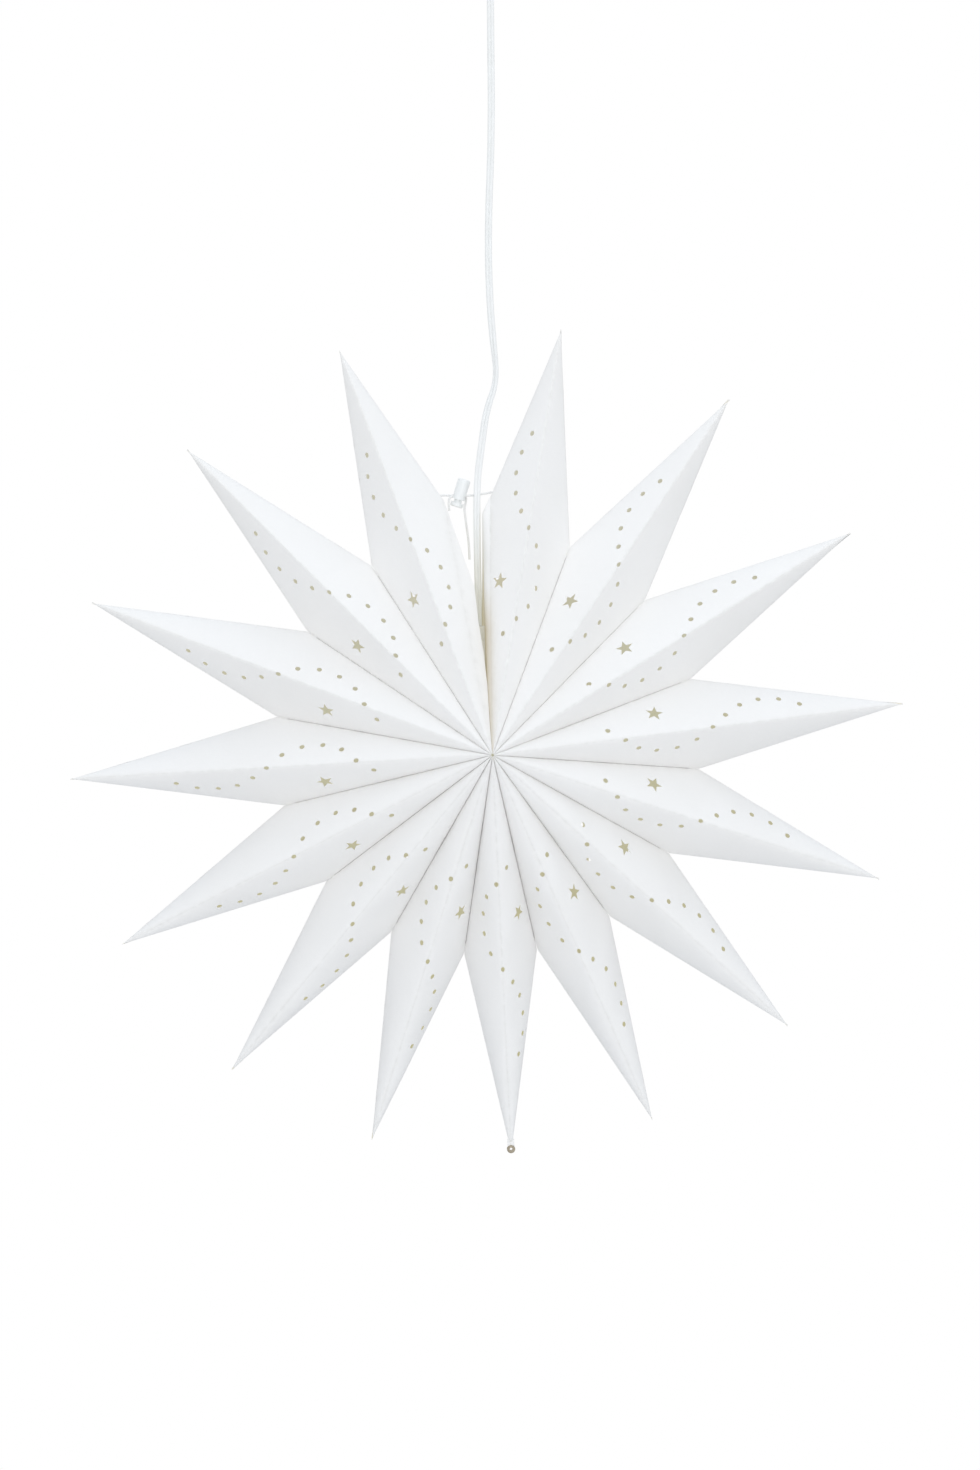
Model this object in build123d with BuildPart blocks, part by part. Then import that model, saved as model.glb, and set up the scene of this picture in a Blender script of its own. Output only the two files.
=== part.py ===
"""A folding paper star lantern on a lit pendant: star, tie, lampholder, bulb, flex and ceiling fitting.

Millimetres. +Z is up, and the star's front faces -Y. The origin is the middle of the ceiling
plate's top face, and everything hangs from it.
"""

import os
from math import cos, exp, pi, radians, sin, tan

from build123d import *

os.makedirs("parts", exist_ok=True)

# ---- Driving dimensions ----

clearance = 0.3  # running gap between pieces that move past each other
slip = 0.15  # gap each side of a sliding or glued fit
touch = 0.05  # gap between pieces that are pressed or screwed together

# Star
drop = 630.0  # ceiling to the middle of the star
star_x = -1.2  # the star's middle, beside the line that the flex hangs from
star_radius = 300.0  # middle to each tip
notch_radius = 153.0  # middle to the outer end of each glued valley
point_blunt = 1.0  # how much of each tip's point, where the folds run out to nothing, is missing
half_depth = 73.0  # middle to the front, and to the back, where all folds meet
card = 0.4  # thickness of the folded card
flap_width = 8.0  # glue flap along each valley
hub_hole_radius = 1.5  # left open where the folds meet
arm_count = 15
bottom_arm = 8  # the arm that hangs lowest, counted clockwise from the top
bottom_tip_angle = 176.8  # degrees clockwise from straight up
fan_pitch = 24.95  # degrees between two arms, where nothing crowds them
crowding = 10.0  # degrees that the hanging arms close up by, on each side of the bottom one
lean = 2.4  # degrees by which both sides of the star are turned against the bottom arm
end_radius = 178.0  # middle to the outer corner of a free end
first_end_angle = 0.5  # the first arm's free corner, degrees clockwise from straight up
last_end_angle = -10.3  # the last arm's free corner
open_flap_width = 9.0  # the last arm's flap, which lies flat
open_flap_share = 0.76  # how far from the hub its corner lies, as a share of the free edge
turned_flap_lean = 3.0  # how far the first arm's flap leans into the slit

# Punched pattern, on the unfolded arm: distances along the ridge and beside it
dot_radius = 1.65
dot_count = 12
dot_pitch = 15.25
first_dot = (87.0, 8.3)
dot_heading = -42.0  # degrees from the ridge, at the first dot
inner_bend = 22.0  # degrees that each step of the inner arc turns
outer_bend = 8.0  # and of the outer arc, back again
last_bend = 11.0  # turned as well by the last steps
cutout_place = (125.0, 19.2)
cutout_radius = 6.1
cutout_waist = 2.5

# Eyelet in the bottom tip
eyelet_place = star_radius - 4.1  # from the star's middle
eyelet_flange_radius = 3.0
eyelet_barrel_radius = 1.6
eyelet_bore_radius = 1.05
eyelet_metal = 0.5
tab_start = star_radius - 10.0  # where the bottom tip is cut off blunt
tab_width = 5.0
tab_thickness = 1.2

# Tie strings and cord lock: x, y and height above the star's middle
string_radius = 0.8
knot_radius = 1.4
tie_depth = 5.0  # behind the flex
tie_height = 177.6
left_string_route = [
    (-38.5, 0.4, 177.6),
    (-38.5, 5.4, 177.7),
    (-31.0, 5.9, 178.1),
    (-21.5, 5.85, 177.7),
    (-15.6, 5.8, 177.4),
    (-14.7, 5.8, 174.4),
    (-16.4, 5.5, 170.0),
    (-16.0, 5.1, 163.0),
    (-15.0, 4.6, 154.5),
    (-14.3, 3.9, 145.0),
    (-14.7, 3.6, 134.5),
]
right_string_route = [
    (5.2, 0.4, 181.0),
    (5.3, 5.0, 181.1),
    (-2.5, 4.4, 179.4),
    (-12.5, 4.1, 177.9),
    (-21.5, 4.0, 177.6),
    (-27.6, 4.1, 177.6),
    (-29.2, 3.8, 175.2),
    (-29.3, 3.3, 171.0),
    (-28.9, 2.8, 167.2),
]
string_hole_radius = 1.2
lock_x = -21.6
lock_tilt = 17.0
lock_radius = 4.6
lock_top = 12.4  # above the strings
lock_bottom = -2.6
lock_bore_radius = 3.1
lock_bore_top = 9.4
lock_hole_radius = 2.0
button_head_radius = 4.6
button_head_height = 3.2
button_travel = 2.0
button_stem_top = 3.0
spring_wire_radius = 0.22
spring_turns = 5

# Flex: x, y and height above the star's middle
flex_radius = 2.5
flex_top = -53.8  # where the flex leaves its clamp, below the ceiling
lamp_x = -8.2  # the lamp hangs under the flex, left of the star's middle
flex_route = [
    (0, 0, drop + flex_top),
    (0.3, 0, 510.0),
    (1.3, 0, 437.0),
    (-1.6, 0, 362.0),
    (-0.2, 0, 315.0),
    (2.3, 0, 286.0),
    (5.2, 0, 260.0),
    (-2.8, 0, 238.0),
    (-5.9, 0, 214.0),
    (-9.5, 0, 187.0),
    (-9.2, 0, 142.0),
    (lamp_x, 0, 104.0),
]

# Bulb, heights above the star's middle
bulb_height = -6.0  # middle of the glass
glass_radius = 22.5
glass_wall = 0.8
bulb_length = 78.0  # lowest point of the glass to the contact
glass_slope = 40.0  # degrees up the globe, where its neck begins
neck_radius = 8.4
cap_radius = 6.8
cap_metal = 0.5
cap_length = 17.0
insulator_height = 3.0
contact_height = 2.0
contact_radius = 3.0
cap_skirt = 4.0  # how far the cap reaches over the glass
stem_radius = 1.6
stem_length = 24.0
stem_disc = 1.2
filament_radius = 0.7
filament_length = 20.0
filament_circle = 5.5
filament_count = 4
support_wire = 0.35

# Lampholder
skirt_radius = 14.0
skirt_wall = 1.6
skirt_length = 30.0
holder_mouth = 29.0  # above the middle of the glass
insert_floor = 5.0
sleeve_metal = 0.6
sleeve_length = 16.0
thread_clearance = 0.45
contact_strip = (9.0, 4.0, 0.5)
rivet_radius = 1.2
dome_height = 22.0
dome_wall = 1.6
dome_straight = 10.0  # its upright part
nipple_radius = 4.5
nipple_height = 5.0
grip_radius = 6.4
grip_height = 10.0
flex_in_dome = 3.0
terminal_x = 7.5
terminal_radius = 2.0
terminal_height = 4.0
lamp_lead_radius = 0.9
lamp_lead_split = 1.3  # each lead's distance from the flex's middle, where its sheath ends

# Ceiling fitting, heights below the ceiling
plate_radius = 30.0
plate_thickness = 2.0
screw_spacing = 40.0
screw_hole_radius = 2.25
hook_wire_radius = 2.0
hook_radius = 8.0
hook_height = -16.0
hook_sweep = 290.0
hook_flange_radius = 5.0
hook_flange_thickness = 1.5
cable_hole_radius = 5.0
cable_hole_x = -16.0
eye_inner_radius = 6.0
eye_outer_radius = 9.0
eye_width = 3.5
neck_front = 1.6
neck_back = 6.0
block_width = 18.0
block_top = -42.0
block_bottom = -56.0
block_back = 6.0
block_front = -1.0
bar_gap = 0.3
bar_thickness = 4.2
bar_height = 10.0
flare_radius = 4.5
flare_height = 5.0
clamp_screw_x = 6.2
clamp_screw_radius = 1.4
clamp_screw_depth = 9.0
clamp_head_radius = 2.6
clamp_head_height = 1.6
terminal_block_size = (14.0, 18.0, 12.0)
terminal_block_x = 20.0
block_screw_radius = 2.0
block_screw_length = 4.0
lead_radius = 1.1
lead_spacing = 8.0
lead_depth = 6.0  # inside the terminal block
lead_split = 1.3
cup_radius = 48.0
cup_rim = -1.0
cup_wall = 1.8
cup_shoulder_radius = 46.0
cup_shoulder = -24.0
cup_belly_radius = 34.0
cup_belly = -53.0
cup_neck_radius = 8.0
cup_neck_top = -66.0
cup_bottom = -78.0
cup_bore_clearance = 0.7
thumb_screw_radius = 2.0
thumb_screw_gap = 0.2  # between its point and the flex
thumb_head_radius = 4.5
thumb_head_height = 4.0

# ---- Places worked out from them ----

star_z = -drop
hub = Vector(star_x, 0, star_z)
front_hub = hub + Vector(0, -half_depth, 0)
back_hub = hub + Vector(0, half_depth, 0)
star_section = Plane(origin=hub, x_dir=(1, 0, 0), z_dir=(0, -1, 0))
lamp_origin = Vector(lamp_x, 0, star_z)
lamp_axis = Axis(lamp_origin, (0, 0, 1))
lamp_section = Plane(origin=lamp_origin, x_dir=(1, 0, 0), z_dir=(0, -1, 0))

bulb_tip = bulb_height - glass_radius + bulb_length
mouth = bulb_height + holder_mouth
skirt_top = mouth + skirt_length
dome_top = skirt_top + dome_height
flex_end = dome_top - flex_in_dome
flex_bore = flex_radius + slip
punch_depth = 1.5 * card
beside_ridge = dot_radius + card
ridge_punch_depth = 3 * beside_ridge


def save(part, name):
    """Names a finished piece and writes it."""
    part.label = name
    export_step(part, f"parts/{name}.step")


def around_star(radius, angle):
    """The point of the star's middle plane at an angle clockwise from straight up, in degrees."""
    return hub + Vector(radius * sin(radians(angle)), 0, radius * cos(radians(angle)))


def clockwise(direction):
    """A quarter turn clockwise in the star's plane, as seen from the front."""
    return Vector(0, 1, 0).cross(direction).normalized()


def tip_angle(number):
    """Where an arm points. The arms crowd together towards the bottom one, which hangs free."""
    step = number - bottom_arm
    side = (step > 0) - (step < 0)
    crowded = side * crowding * (1 - exp(-0.7 * abs(step)))
    return bottom_tip_angle + fan_pitch * step - crowded - lean * step**2 / (step**2 + 6)


def valley_angle(number):
    """The glued valley between an arm and the next one clockwise."""
    return (tip_angle(number) + tip_angle(number + 1)) / 2


def pattern_dots():
    """The row of dots, walked in equal steps: straight, round the inner arc, then the outer arc."""
    x, y = first_dot
    dots = [(x, y)]
    for step in range(dot_count - 1):
        turned = inner_bend * min(max(step - 1, 0), 4)
        turned -= outer_bend * max(step - 5, 0) + last_bend * max(step - 7, 0)
        heading = radians(dot_heading + turned)
        x += dot_pitch * cos(heading)
        y += dot_pitch * sin(heading)
        dots.append((x, y))
    return dots


def cutout_outline():
    """The five-pointed cutout, from its points and waists in turn."""
    x, y = cutout_place
    outline = []
    for turn in range(10):
        reach = (cutout_radius, cutout_waist)[turn % 2]
        outline.append((x + reach * cos(radians(36 * turn)), y + reach * sin(radians(36 * turn))))
    return outline


def facing(a, b, c, outwards):
    """The plane through three points, from a towards b, whose normal has the given side."""
    normal = (b - a).cross(c - a)
    if normal.dot(outwards) < 0:
        normal = -normal
    return Plane(origin=a, x_dir=b - a, z_dir=normal)


def flat(plane, points):
    """Points of space in a plane's own two coordinates."""
    return [(p.X, p.Y) for p in (plane.to_local_coords(q) for q in points)]


def corner_radii(points, name):
    """A cord's arcs, each as large as its two runs allow: 0.45 of the shorter run."""
    radii = []
    for before, corner, after in zip(points, points[1:], points[2:]):
        turn = radians((corner - before).get_angle(after - corner))
        shorter = min((corner - before).length, (after - corner).length)
        radii.append(0.45 * shorter / tan(turn / 2))
    print(name, "radii", [round(radius, 1) for radius in radii])
    return radii


def report_tube(name, part, path, radius):
    """A tube's volume against its section times its length."""
    length = sum(edge.length for edge in path.edges())
    print(name, "length", round(length, 1), "volume ratio", round(part.volume / (pi * radius**2 * length), 4))


def ring(inner, outer, low, high):
    """A rectangle of a turned part's section, between two radii and two heights."""
    with Locations((inner, low)):
        Rectangle(outer - inner, high - low, align=Align.MIN)


# ---- Star: fifteen arms ----

string_ends = {1: right_string_route, arm_count: left_string_route}


def arm_sides(number):
    """Each side's sign (clockwise is 1), the outer corner of its valley, and how it ends."""
    sides = []
    for side, seam in ((-1, number - 1), (1, number)):
        if seam == 0:
            sides.append((side, around_star(end_radius, first_end_angle), "turned"))
        elif seam == arm_count:
            sides.append((side, around_star(end_radius, last_end_angle), "open"))
        else:
            sides.append((side, around_star(notch_radius, valley_angle(seam)), "glued"))
    return sides


def facet_outline(apex, tip, corner, kind, away):
    """A facet's corners. On the open end the flap lies flat, as more of the facet."""
    if kind != "open":
        return [apex, tip, corner]
    flap_corner = apex + (corner - apex) * open_flap_share + away * open_flap_width
    return [apex, tip, corner, flap_corner]


def punch(facets, ridge):
    """The pattern, cut square to each facet, and square to the ridge where a dot is beside it."""
    for facet, own_side in facets:
        with BuildSketch(facet) as cut:
            with Locations(*[dot for dot in pattern_dots() if dot[1] * own_side > beside_ridge]):
                Circle(dot_radius)
            if own_side > 0:
                with BuildLine():
                    Polyline(*cutout_outline(), close=True)
                make_face()
        extrude(cut.sketch, amount=-punch_depth, mode=Mode.SUBTRACT)
    with BuildSketch(ridge) as cut:
        with Locations(*[dot for dot in pattern_dots() if abs(dot[1]) <= beside_ridge]):
            Circle(dot_radius)
    extrude(cut.sketch, amount=-ridge_punch_depth, mode=Mode.SUBTRACT)


def flap_outline(apex, corner, inwards):
    """A glue flap's corners: its ends are cut at 45 degrees."""
    bevel = (corner - apex).normalized() * flap_width
    fold = inwards.normalized() * flap_width
    return [apex, corner, corner + fold - bevel, apex + fold + bevel]


def make_arm(number):
    """One sheet of punched card, folded along its ridges and edges into a hollow point."""
    tip = around_star(star_radius + point_blunt, tip_angle(number))
    along = (tip - hub).normalized()
    reach = tab_start if number == bottom_arm else star_radius
    punched = []
    with BuildPart() as arm:
        for apex in (front_hub, back_hub):
            outwards = apex - hub
            pair = []
            for side, corner, kind in arm_sides(number):
                facet = facing(apex, tip, corner, outwards)
                own_side = 1 if facet.to_local_coords(corner).Y > 0 else -1
                pair.append((facet, own_side))
                away = facet.y_dir * own_side
                with BuildSketch(facet):
                    with BuildLine():
                        Polyline(*flat(facet, facet_outline(apex, tip, corner, kind, away)), close=True)
                    make_face()
                extrude(amount=-card, clean=False)
                if kind == "open":
                    continue
                inwards = -outwards
                if kind == "turned":
                    inwards = inwards.normalized() * flap_width + clockwise(along) * side * turned_flap_lean
                flap = facing(apex, corner, apex + inwards, clockwise(along) * side)
                with BuildSketch(flap):
                    with BuildLine():
                        Polyline(*flat(flap, flap_outline(apex, corner, inwards)), close=True)
                    make_face()
                extrude(amount=-card, clean=False)
            square = pair[0][0].z_dir + pair[1][0].z_dir
            punched.append((pair, Plane(origin=apex, x_dir=tip - apex, z_dir=square)))
        for side, corner, kind in arm_sides(number):
            if kind == "glued":
                seam = clockwise(corner - hub) * side
                split(bisect_by=Plane(origin=hub - seam * slip, z_dir=seam), keep=Keep.BOTTOM)
        split(bisect_by=Plane(origin=hub + along * reach, z_dir=along), keep=Keep.BOTTOM)
        with BuildSketch(star_section):
            Circle(hub_hole_radius)
        extrude(amount=half_depth + 1, both=True, mode=Mode.SUBTRACT)
        for pair, ridge in punched:
            punch(pair, ridge)
        if number in string_ends:
            x, y, height = string_ends[number][1]
            with BuildSketch(Plane(origin=(x, 0, star_z + height), z_dir=(0, 1, 0))):
                Circle(string_hole_radius)
            extrude(amount=y, mode=Mode.SUBTRACT)
        if number == bottom_arm:
            with BuildSketch(Plane(origin=hub, x_dir=along, z_dir=(0, -1, 0))):
                ring(tab_start - tab_thickness, eyelet_place, -tab_width / 2, tab_width / 2)
                with Locations((eyelet_place, 0)):
                    Circle(tab_width / 2)
                    Circle(eyelet_barrel_radius + touch, mode=Mode.SUBTRACT)
            extrude(amount=tab_thickness / 2, both=True)
    return arm.part


for number in range(1, arm_count + 1):
    save(make_arm(number), f"arm_{number:02d}")

# ---- Eyelet, through the bottom arm's tab ----

eyelet_middle = around_star(eyelet_place, tip_angle(bottom_arm))
flange_seat = tab_thickness / 2 + touch
with BuildPart() as eyelet:
    with BuildSketch(Plane(origin=eyelet_middle, x_dir=(1, 0, 0), z_dir=(0, 0, 1))):
        for low in (-flange_seat - eyelet_metal, flange_seat):
            ring(eyelet_bore_radius, eyelet_flange_radius, low, low + eyelet_metal)
        ring(eyelet_bore_radius, eyelet_barrel_radius, -flange_seat, flange_seat)
    revolve(axis=Axis(eyelet_middle, (0, 1, 0)))
    fillet(eyelet.edges().filter_by(GeomType.CIRCLE).group_by(SortBy.RADIUS)[-1], eyelet_metal / 3)
save(eyelet.part, "tip_eyelet")

# ---- Cord lock: body, button and spring on one tilted axis ----

lock_middle = Vector(lock_x, tie_depth, star_z + tie_height)
lock_side = Vector(cos(radians(lock_tilt)), 0, -sin(radians(lock_tilt)))
lock_section = Plane(origin=lock_middle, x_dir=lock_side, z_dir=(0, -1, 0))
lock_axis = Axis(lock_middle, lock_section.y_dir)
string_way = Plane(origin=lock_middle, x_dir=(0, 1, 0), z_dir=(1, 0, 0))
stem_radius_in_lock = lock_bore_radius - clearance

with BuildPart() as lock_body:
    with BuildSketch(lock_section):
        ring(0, lock_radius, lock_bottom, lock_top)
        with Locations((0, lock_bottom)):
            Rectangle(
                lock_bore_radius, lock_bore_top - lock_bottom, align=Align.MIN, mode=Mode.SUBTRACT
            )
    revolve(axis=lock_axis)
    fillet(lock_body.edges().filter_by(GeomType.CIRCLE).sort_by(lock_axis)[-1], lock_radius / 4)
    with BuildSketch(string_way):
        Circle(lock_hole_radius)
    extrude(amount=2 * lock_radius, both=True, mode=Mode.SUBTRACT)
save(lock_body.part, "cord_lock_body")

button_top = lock_bottom - button_travel - clearance
with BuildPart() as lock_button:
    with BuildSketch(lock_section):
        ring(0, button_head_radius, button_top - button_head_height, button_top)
        ring(0, stem_radius_in_lock, button_top, button_stem_top)
    revolve(axis=lock_axis)
    fillet(lock_button.edges().filter_by(GeomType.CIRCLE).sort_by(lock_axis)[0], button_head_height / 3)
    with BuildSketch(string_way):
        Circle(lock_hole_radius)
    extrude(amount=2 * lock_radius, both=True, mode=Mode.SUBTRACT)
save(lock_button.part, "cord_lock_button")

spring_foot = button_stem_top + spring_wire_radius + touch
spring_height = lock_bore_top - spring_wire_radius - touch - spring_foot
with BuildPart() as lock_spring:
    with BuildLine():
        coil = Helix(
            pitch=spring_height / spring_turns,
            height=spring_height,
            radius=stem_radius_in_lock - spring_wire_radius,
            center=lock_middle + lock_section.y_dir * spring_foot,
            direction=lock_section.y_dir,
        )
    with BuildSketch(Plane(origin=coil @ 0, z_dir=coil % 0)):
        Circle(spring_wire_radius)
    sweep(is_frenet=True)
save(lock_spring.part, "cord_lock_spring")

# ---- Tie strings: one from each end arm, through the lock, with a hanging tail ----

for name, route in (("tie_string_left", left_string_route), ("tie_string_right", right_string_route)):
    points = [Vector(x, y, star_z + height) for x, y, height in route]
    with BuildPart() as string:
        with BuildLine() as way:
            FilletPolyline(*points, radius=corner_radii(points, name))
        with BuildSketch(Plane(origin=points[0], z_dir=points[1] - points[0])):
            Circle(string_radius)
        sweep()
        report_tube(name, string.part, way, string_radius)
        with Locations(points[0]):
            Sphere(knot_radius)
    save(string.part, name)

# ---- Flex, from its clamp to inside the lampholder's dome ----

points = [Vector(x, y, star_z + height) for x, y, height in flex_route]
points.append(Vector(lamp_x, 0, star_z + flex_end))
with BuildPart() as flex:
    with BuildLine() as way:
        FilletPolyline(*points, radius=corner_radii(points, "power_cord"))
    with BuildSketch(Plane(origin=points[0], z_dir=points[1] - points[0])):
        Circle(flex_radius)
    sweep()
    report_tube("power_cord", flex.part, way, flex_radius)
    with Locations(points[0]):
        Sphere(flex_radius)
save(flex.part, "power_cord")

# ---- Bulb, turned about the lamp's axis ----

cap_top = bulb_tip - contact_height - insulator_height
cap_foot = cap_top - cap_length
globe_edge = (
    glass_radius * cos(radians(glass_slope)),
    bulb_height + glass_radius * sin(radians(glass_slope)),
)
slope_end = globe_edge[1] + (globe_edge[0] - neck_radius) / tan(radians(glass_slope))


def bulb_outline(wall):
    """Half of the bulb's outline, a wall inside the glass: globe, straight slope and neck."""
    middle = (0, bulb_height)
    globe_end = (
        (glass_radius - wall) * cos(radians(glass_slope)),
        bulb_height + (glass_radius - wall) * sin(radians(glass_slope)),
    )
    neck_end = (neck_radius - wall, slope_end - wall * tan(radians(glass_slope / 2)))
    CenterArc(middle, glass_radius - wall, -90, 90 + glass_slope)
    Polyline(globe_end, neck_end, (neck_radius - wall, cap_foot), (0, cap_foot))
    Line((0, cap_foot), (0, bulb_height - glass_radius + wall))


with BuildPart() as bulb_glass:
    with BuildSketch(lamp_section):
        with BuildLine():
            bulb_outline(0)
        make_face()
        with BuildLine():
            bulb_outline(glass_wall)
        make_face(mode=Mode.SUBTRACT)
    revolve(axis=lamp_axis)
save(bulb_glass.part, "bulb_glass")

stem_foot = cap_foot - stem_length
with BuildPart() as bulb_stem:
    with BuildSketch(lamp_section):
        ring(0, neck_radius - glass_wall - touch, cap_foot - stem_disc, cap_foot)
        ring(0, stem_radius, stem_foot, cap_foot)
    revolve(axis=lamp_axis)
save(bulb_stem.part, "bulb_stem")

filament_top = stem_foot + 2 * stem_radius
filament_foot = filament_top - filament_length
spider_radius = stem_radius + touch + 2 * support_wire
spoke_start = stem_radius + touch + support_wire
with BuildPart() as bulb_filaments:
    with BuildSketch(lamp_section):
        ring(stem_radius + touch, spider_radius, filament_top - support_wire, filament_top)
        ring(0, spider_radius, filament_foot, filament_foot + support_wire)
        ring(0, support_wire, filament_foot, stem_foot - touch)
    revolve(axis=lamp_axis)
    with BuildSketch(Plane(origin=lamp_origin + Vector(0, 0, filament_foot))):
        with PolarLocations(filament_circle, filament_count):
            Circle(filament_radius)
    extrude(amount=filament_length)
    for height in (filament_foot, filament_top - support_wire):
        with BuildSketch(Plane(origin=lamp_origin + Vector(0, 0, height))):
            with PolarLocations(spoke_start, filament_count):
                Rectangle(
                    filament_circle - spoke_start, 2 * support_wire, align=(Align.MIN, Align.CENTER)
                )
        extrude(amount=support_wire)
save(bulb_filaments.part, "bulb_filaments")

cap_seat = neck_radius + touch
with BuildPart() as bulb_cap:
    with BuildSketch(lamp_section):
        ring(cap_seat, cap_seat + cap_metal, cap_foot - cap_skirt, cap_foot + touch)
        ring(cap_radius - cap_metal, cap_seat + cap_metal, cap_foot + touch, cap_foot + touch + cap_metal)
        ring(cap_radius - cap_metal, cap_radius, cap_foot + touch, cap_top)
    revolve(axis=lamp_axis)
    widest = bulb_cap.edges().filter_by(GeomType.CIRCLE).group_by(SortBy.RADIUS)[-1]
    fillet(widest.sort_by(Axis.Z)[-1], cap_metal / 3)
save(bulb_cap.part, "bulb_cap")

with BuildPart() as bulb_insulator:
    with BuildSketch(lamp_section):
        with BuildLine():
            Polyline(
                (0, cap_top + touch),
                (cap_radius - cap_metal, cap_top + touch),
                (contact_radius + cap_metal, cap_top + insulator_height),
                (0, cap_top + insulator_height),
                close=True,
            )
        make_face()
    revolve(axis=lamp_axis)
save(bulb_insulator.part, "bulb_insulator")

with BuildPart() as bulb_contact:
    with BuildSketch(lamp_section):
        ring(0, contact_radius, bulb_tip - contact_height + touch, bulb_tip)
    revolve(axis=lamp_axis)
    fillet(bulb_contact.edges().filter_by(GeomType.CIRCLE).sort_by(Axis.Z)[-1], contact_height / 2)
save(bulb_contact.part, "bulb_contact")

# ---- Lampholder, on the lamp's axis ----

sleeve_bore = cap_radius + thread_clearance
sleeve_foot = cap_foot + touch + cap_metal + clearance
strip_foot = bulb_tip + touch
floor_foot = strip_foot + contact_strip[2] + touch
insert_top = floor_foot + insert_floor
insert_radius = skirt_radius - skirt_wall - slip
terminal_top = insert_top + terminal_height

with BuildPart() as skirt:
    with BuildSketch(lamp_section):
        ring(skirt_radius - skirt_wall, skirt_radius, mouth, skirt_top)
    revolve(axis=lamp_axis)
    fillet(skirt.edges().filter_by(GeomType.CIRCLE).group_by(Axis.Z)[0], skirt_wall / 3)
save(skirt.part, "lampholder_skirt")

with BuildPart() as insert:
    with BuildSketch(lamp_section):
        ring(sleeve_bore + sleeve_metal + touch, insert_radius, sleeve_foot, floor_foot)
        ring(rivet_radius + touch, insert_radius, floor_foot, insert_top)
    revolve(axis=lamp_axis)
save(insert.part, "lampholder_insert")

with BuildPart() as sleeve:
    with BuildSketch(lamp_section):
        ring(sleeve_bore, sleeve_bore + sleeve_metal, sleeve_foot, sleeve_foot + sleeve_length)
    revolve(axis=lamp_axis)
save(sleeve.part, "screw_sleeve")

with BuildPart() as strip:
    with BuildSketch(Plane(origin=lamp_origin + Vector(0, 0, strip_foot))):
        Rectangle(contact_strip[0], contact_strip[1])
    extrude(amount=contact_strip[2])
    with BuildSketch(Plane(origin=lamp_origin + Vector(0, 0, strip_foot))):
        Circle(rivet_radius)
    extrude(amount=insert_top - strip_foot)
save(strip.part, "centre_contact")

with BuildPart() as dome:
    with BuildSketch(lamp_section):
        with BuildLine():
            Polyline(
                (flex_bore, dome_top - dome_wall),
                (grip_radius - dome_wall, dome_top - dome_wall),
                (skirt_radius - dome_wall, skirt_top + dome_straight),
                (skirt_radius - dome_wall, skirt_top + touch),
                (skirt_radius, skirt_top + touch),
                (skirt_radius, skirt_top + dome_straight),
                (grip_radius, dome_top),
                (nipple_radius, dome_top),
                (nipple_radius, dome_top + nipple_height),
                (flex_bore, dome_top + nipple_height),
                close=True,
            )
        make_face()
    revolve(axis=lamp_axis)
save(dome.part, "lampholder_dome")

with BuildPart() as grip:
    with BuildSketch(lamp_section):
        ring(nipple_radius + touch, grip_radius, dome_top + touch, dome_top + nipple_height + touch)
        ring(flex_bore, grip_radius, dome_top + nipple_height + touch, dome_top + grip_height)
    revolve(axis=lamp_axis)
    fillet(grip.edges().filter_by(GeomType.CIRCLE).group_by(SortBy.RADIUS)[-1].sort_by(Axis.Z)[-1], dome_wall)
save(grip.part, "cord_grip")

for side, name in ((-1, "left"), (1, "right")):
    terminal = lamp_origin + Vector(side * terminal_x, 0, insert_top + touch)
    with BuildPart() as screw:
        with BuildSketch(Plane(origin=terminal)):
            Circle(terminal_radius)
        extrude(amount=terminal_height - touch)
        with BuildSketch(Plane(origin=terminal + Vector(0, 0, terminal_height - touch))):
            Rectangle(2 * terminal_radius, terminal_radius / 3)
        extrude(amount=-terminal_radius / 3, mode=Mode.SUBTRACT)
    save(screw.part, f"lamp_terminal_{name}")

    split_x = side * lamp_lead_split
    heights = (flex_end - touch, flex_end - 3, terminal_top + 4, terminal_top + touch)
    reaches = (split_x, split_x, side * terminal_x, side * terminal_x)
    points = [lamp_origin + Vector(reach, 0, height) for reach, height in zip(reaches, heights)]
    with BuildPart() as lead:
        with BuildLine():
            FilletPolyline(*points, radius=corner_radii(points, f"lamp_lead_{name}"))
        with BuildSketch(Plane(origin=points[0], z_dir=(0, 0, -1))):
            Circle(lamp_lead_radius)
        sweep()
    save(lead.part, f"lamp_lead_{name}")

# ---- Ceiling plate, hook and terminal block ----

plate_under = -plate_thickness
with BuildPart() as plate:
    with BuildSketch():
        Circle(plate_radius)
        Circle(hook_wire_radius + touch, mode=Mode.SUBTRACT)
        with Locations((cable_hole_x, 0)):
            Circle(cable_hole_radius, mode=Mode.SUBTRACT)
        with Locations((0, -screw_spacing / 2), (0, screw_spacing / 2)):
            Circle(screw_hole_radius, mode=Mode.SUBTRACT)
    extrude(amount=plate_under)
    widest = plate.edges().filter_by(GeomType.CIRCLE).group_by(SortBy.RADIUS)[-1]
    chamfer(widest.sort_by(Axis.Z)[0], plate_thickness / 3)
save(plate.part, "ceiling_plate")

hook_middle = Vector(0, 0, hook_height)
hook_section = Plane(origin=hook_middle, x_dir=(1, 0, 0), z_dir=(0, -1, 0))
with BuildPart() as hook:
    with BuildLine(hook_section):
        bend = CenterArc((0, 0), hook_radius, 90, -hook_sweep)
    with BuildSketch(Plane(origin=bend @ 0, z_dir=bend % 0)):
        Circle(hook_wire_radius)
    sweep()
    with Locations(bend @ 0, bend @ 1):
        Sphere(hook_wire_radius)
    with BuildSketch(Plane.XY.offset(hook_height + hook_radius)):
        Circle(hook_wire_radius)
    extrude(amount=-hook_height - hook_radius)
    with BuildSketch(Plane.XY.offset(plate_under - touch)):
        Circle(hook_flange_radius)
    extrude(amount=-hook_flange_thickness)
save(hook.part, "ceiling_hook")

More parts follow.
